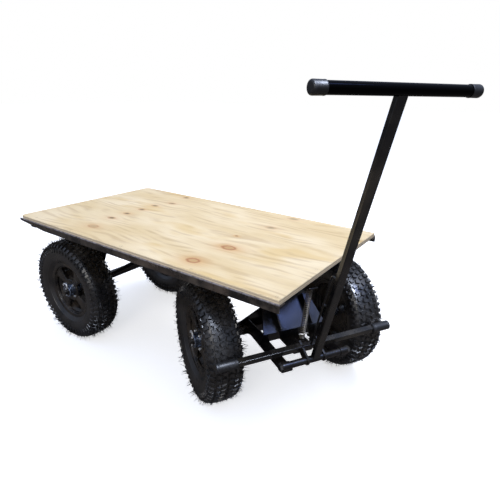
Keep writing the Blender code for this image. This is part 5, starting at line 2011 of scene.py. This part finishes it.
@dataclass
class Handle:
    """The tow handle: T bar caps, stay, brake sleeves and return spring.

    cap_mouth is the caps' lip as (change of radius, distance from the mouth). stay_foot and stay_top
    are distances along the stem from the hinge, stay_line and stay_end distances ahead of its middle
    line. spring_foot and spring_head are (distance ahead of the king pin, height).
    """

    lateral: np.ndarray
    hinge: np.ndarray
    king_pin: np.ndarray
    cap_radius: float = 0.0136
    cap_length: float = 0.030
    cap_wall: float = 0.0015
    cap_dome: float = 0.005
    cap_dome_steps: int = 8
    cap_mouth: tuple = ((-0.0002, 0), (0, 0.0008), (0, 0.0030), (-0.0003, 0.0036))
    cap_segments: int = 56
    sleeve_radius: float = 0.0145
    sleeve_edge: float = 0.0012
    sleeve_steps: int = 60
    sleeve_segments: int = 48
    groove_in: float = 0.008
    groove_width: float = 0.0012
    groove_depth: float = 0.0007
    stay_radius: float = 0.0028
    stay_sides: int = 16
    stay_bend: float = 0.010
    stay_bend_steps: int = 14
    stay_foot: float = 0.0246
    stay_line: float = -0.0329
    stay_top: float = 0.287
    stay_end: float = -0.0083
    stay_steps: int = 20
    stay_end_steps: int = 4
    spring_foot: tuple = (0.172, 0.2401)
    spring_head: tuple = (0.197, 0.4215)
    spring_radius: float = 0.0078
    spring_wire: float = 0.0013
    spring_sides: int = 10
    spring_curls: int = 29
    spring_end_curls: float = 1.5
    spring_end_pitch: float = 0.0034
    spring_steps: int = 22
    wire_sharp: float = 60.0

    def build(self, shop: Workshop) -> None:
        """Make the handle's round pieces.

        Args:
            shop: The workshop.
        """
        self.build_caps(shop)
        self.build_sleeves(shop)
        self.build_stay(shop)
        self.build_spring(shop)

    def build_caps(self, shop: Workshop) -> None:
        """Domed caps over the T bar's ends, with a lip at the mouth: a turned profile.

        Args:
            shop: The workshop.
        """
        radius, dome, mouth = self.cap_radius, self.cap_dome, -self.cap_length
        angles = np.linspace(0, math.pi / 2, self.cap_dome_steps)
        end_curve = np.stack((
            radius - dome + dome * np.cos(angles), -dome + dome * np.sin(angles)), axis=1)
        lip = [(radius + change, mouth + rise) for change, rise in self.cap_mouth]
        inside = ((0, 0), (0, -self.cap_wall), (TBAR_RADIUS, -self.cap_wall))
        profile = np.concatenate((((TBAR_RADIUS, mouth),), lip, end_curve, inside))
        for side in Side:
            node = "handle_cap_" + side.name.lower()
            start, end = bar_ends(node, self.lateral, radius)
            place = place_along(end if side is Side.LEFT else start, self.lateral * side.value)
            cap = place.put(revolved(profile, self.cap_segments))
            shop.make(node + "_moulding", cap, CAP_PLASTIC, "handle", (node,))

    def build_sleeves(self, shop: Workshop) -> None:
        """Hose sleeves: the radius falls by depth·exp(-((y - c)/w)²) at a groove near each end.

        Args:
            shop: The workshop.
        """
        narrow = self.sleeve_radius - self.sleeve_edge
        for side in Side:
            node = "brake_sleeve_" + side.name.lower()
            start, end = bar_ends(node, self.lateral, self.sleeve_radius)
            half = float(np.linalg.norm(end - start)) / 2
            along = np.linspace(-half + self.sleeve_edge, half - self.sleeve_edge, self.sleeve_steps)
            centres = (-half + self.groove_in, half - self.groove_in)
            groove = sum(np.exp(-(((along - centre) / self.groove_width) ** 2)) for centre in centres)
            outer = np.stack((self.sleeve_radius - self.groove_depth * groove, along), axis=1)
            profile = np.concatenate((((0, -half), (narrow, -half)), outer, ((narrow, half), (0, half))))
            place = place_along((start + end) / 2, self.lateral)
            hose = place.put(revolved(profile, self.sleeve_segments))
            shop.make(node + "_hose", hose, Moulded(), "handle", (node,))

    def build_stay(self, shop: Workshop) -> None:
        """The thin rod behind the stem, straight up and then bent over on a quarter circle.

        Args:
            shop: The workshop.
        """
        upward = unit(middle_of("handle_tbar") - self.hinge)
        axes = np.array((np.cross(self.lateral, upward), self.lateral, upward))
        line, top, turn = self.stay_line, self.stay_top, self.stay_bend
        angles = np.radians(np.linspace(180, 90, self.stay_bend_steps))
        bend = np.stack((
            line + turn + turn * np.cos(angles), np.zeros(len(angles)),
            top - turn + turn * np.sin(angles)), axis=1)
        straight = np.linspace((line, 0, self.stay_foot), bend[0], self.stay_steps)[:-1]
        end = np.linspace(bend[-1], (self.stay_end, 0, top), self.stay_end_steps)[1:]
        rod = swept(np.concatenate((straight, bend, end)), self.stay_radius, self.stay_sides, LEFTWARD)
        rod = Place(self.hinge, axes).put(rod)
        shop.make("stay_rod_bent", rod, Enamel(), "handle", ("stay_rod",), self.wire_sharp)

    def build_spring(self, shop: Workshop) -> None:
        """The return spring: a coil whose end curls lie close and whose others are evenly open.

        Its centre line is c(h) + r·(cos 2πn·forward + sin 2πn·lateral) after n curls, where the
        height h grows by the end pitch in the end curls and by the open pitch between them.

        Args:
            shop: The workshop.
        """
        forward = np.cross(self.lateral, UP)
        foot, head = (
            self.king_pin * (1, 1, 0) + forward * ahead + UP * level
            for ahead, level in (self.spring_foot, self.spring_head)
        )
        rise = head[2] - foot[2]
        turns = np.linspace(0, self.spring_curls, self.spring_curls * self.spring_steps + 1)
        start = np.minimum(turns, self.spring_end_curls)
        end = np.maximum(turns - self.spring_curls + self.spring_end_curls, 0)
        open_rise = rise - 2 * self.spring_end_curls * self.spring_end_pitch
        open_pitch = open_rise / (self.spring_curls - 2 * self.spring_end_curls)
        height = (start + end) * self.spring_end_pitch + (turns - start - end) * open_pitch
        centre = foot + (head - foot) * (height / rise)[:, None]
        phase = turns * math.tau
        across = np.outer(np.cos(phase), forward) + np.outer(np.sin(phase), self.lateral)
        line = centre + self.spring_radius * across
        coil = swept(line, self.spring_wire, self.spring_sides, UP)
        piece = shop.make(
            "return_spring_coil", coil, SPRING_STEEL, "carriage", ("return_spring",), self.wire_sharp)
        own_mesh(piece)


def build_wheels(shop: Workshop, joints: dict) -> None:
    """The four wheels, each with its own seed for its hairs.

    Args:
        shop: The workshop.
        joints: The frame's joints by name.
    """
    seed = 0
    axles = (("front", "carriage", Tyre(hair_reach=BRAKE_REACH)), ("rear", "frame", Tyre()))
    for end, holder, tyre in axles:
        for side in Side:
            seed += 1
            name = end + "_" + side.name.lower()
            pin = end + "_axle_pin_" + side.name.lower()
            Wheel(name, side, joints[name + "_spin"], pin, holder, tyre).build(shop, seed)


def build_round_parts(shop: Workshop, lateral: np.ndarray) -> None:
    """The turned bars and tubes of frame, carriage and handle.

    Args:
        shop: The workshop.
        lateral: Direction of the front axle and of the handle's hinge.
    """
    parts = (
        RoundPart("handle_tbar", "handle", lateral, TBAR_ENAMEL, TBAR_RADIUS),
        RoundPart("hinge_barrel", "handle", lateral, Enamel(), radius=0.0105, bore=0.0064),
        RoundPart("rear_axle_shaft", "frame", LEFTWARD, DARK_STEEL, AXLE_RADIUS),
        RoundPart("front_axle_stub_left", "carriage", lateral, DARK_STEEL, AXLE_RADIUS),
        RoundPart("front_axle_stub_right", "carriage", lateral, DARK_STEEL, AXLE_RADIUS),
        RoundPart("king_post", "carriage", UP, Enamel(), radius=0.0125, bore=0.0086),
        RoundPart("turntable_race", "carriage", UP, Zinc(), radius=0.094, bore=0.066, segments=96),
    )
    for part in parts:
        part.build(shop)


def plate_finish(node: str, body: str) -> Finish:
    """The finish of a plate or bar.

    Args:
        node: Its node's name.
        body: The body that it belongs to.

    Returns:
        The enamel of the handle, of the rails, or the plain one.
    """
    if body == "handle":
        return HANDLE_ENAMEL
    return RAIL_ENAMEL if node.startswith("rail") else Enamel()


def build_plates(shop: Workshop, frame: dict) -> None:
    """Soften each enamelled plate or bar that nothing else stands for.

    Args:
        shop: The workshop.
        frame: The loaded frame.
    """
    record = frame["record"]
    members = record["behaviour"]["bodies"]
    bodies = {node: body for body, nodes in members.items() for node in nodes}
    taken = {name for piece in bpy.data.objects for name in piece.get("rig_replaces", [])}
    for row in record["subparts"]:
        name = row["node"]
        if row["material_slot"] != Slot.ENAMEL.value or name in taken:
            continue
        finish = plate_finish(name, bodies[name])
        shop.soften(name + "_softened", frame["nodes"][name], finish, bodies[name], EDGE)


def main() -> None:
    """Build the camera, the studio and every piece."""
    logging.basicConfig(level=logging.INFO, format="%(message)s")
    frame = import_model()
    before = [list(corner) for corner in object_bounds()]
    PhotoCamera().build()
    Studio().build()
    joints = {joint["name"]: joint for joint in frame["joints"]}
    lateral = np.array(joints["handle_hinge"]["axis"], float)
    hinge = np.array(joints["handle_hinge"]["pos_m"], float)
    king_pin = np.array(joints["steer"]["pos_m"], float)
    shop = Workshop(np.array(before[0]), np.array(before[1]))
    Deck().build(shop, frame["nodes"])
    build_wheels(shop, joints)
    build_round_parts(shop, lateral)
    Handle(lateral, hinge, king_pin).build(shop)
    build_plates(shop, frame)
    for name in ("king_pin", "hinge_bolt"):
        shop.redress(frame["nodes"][name], DARK_STEEL)
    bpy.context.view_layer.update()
    LOG.info("%d pieces", shop.count)


if __name__ == "__main__":
    main()
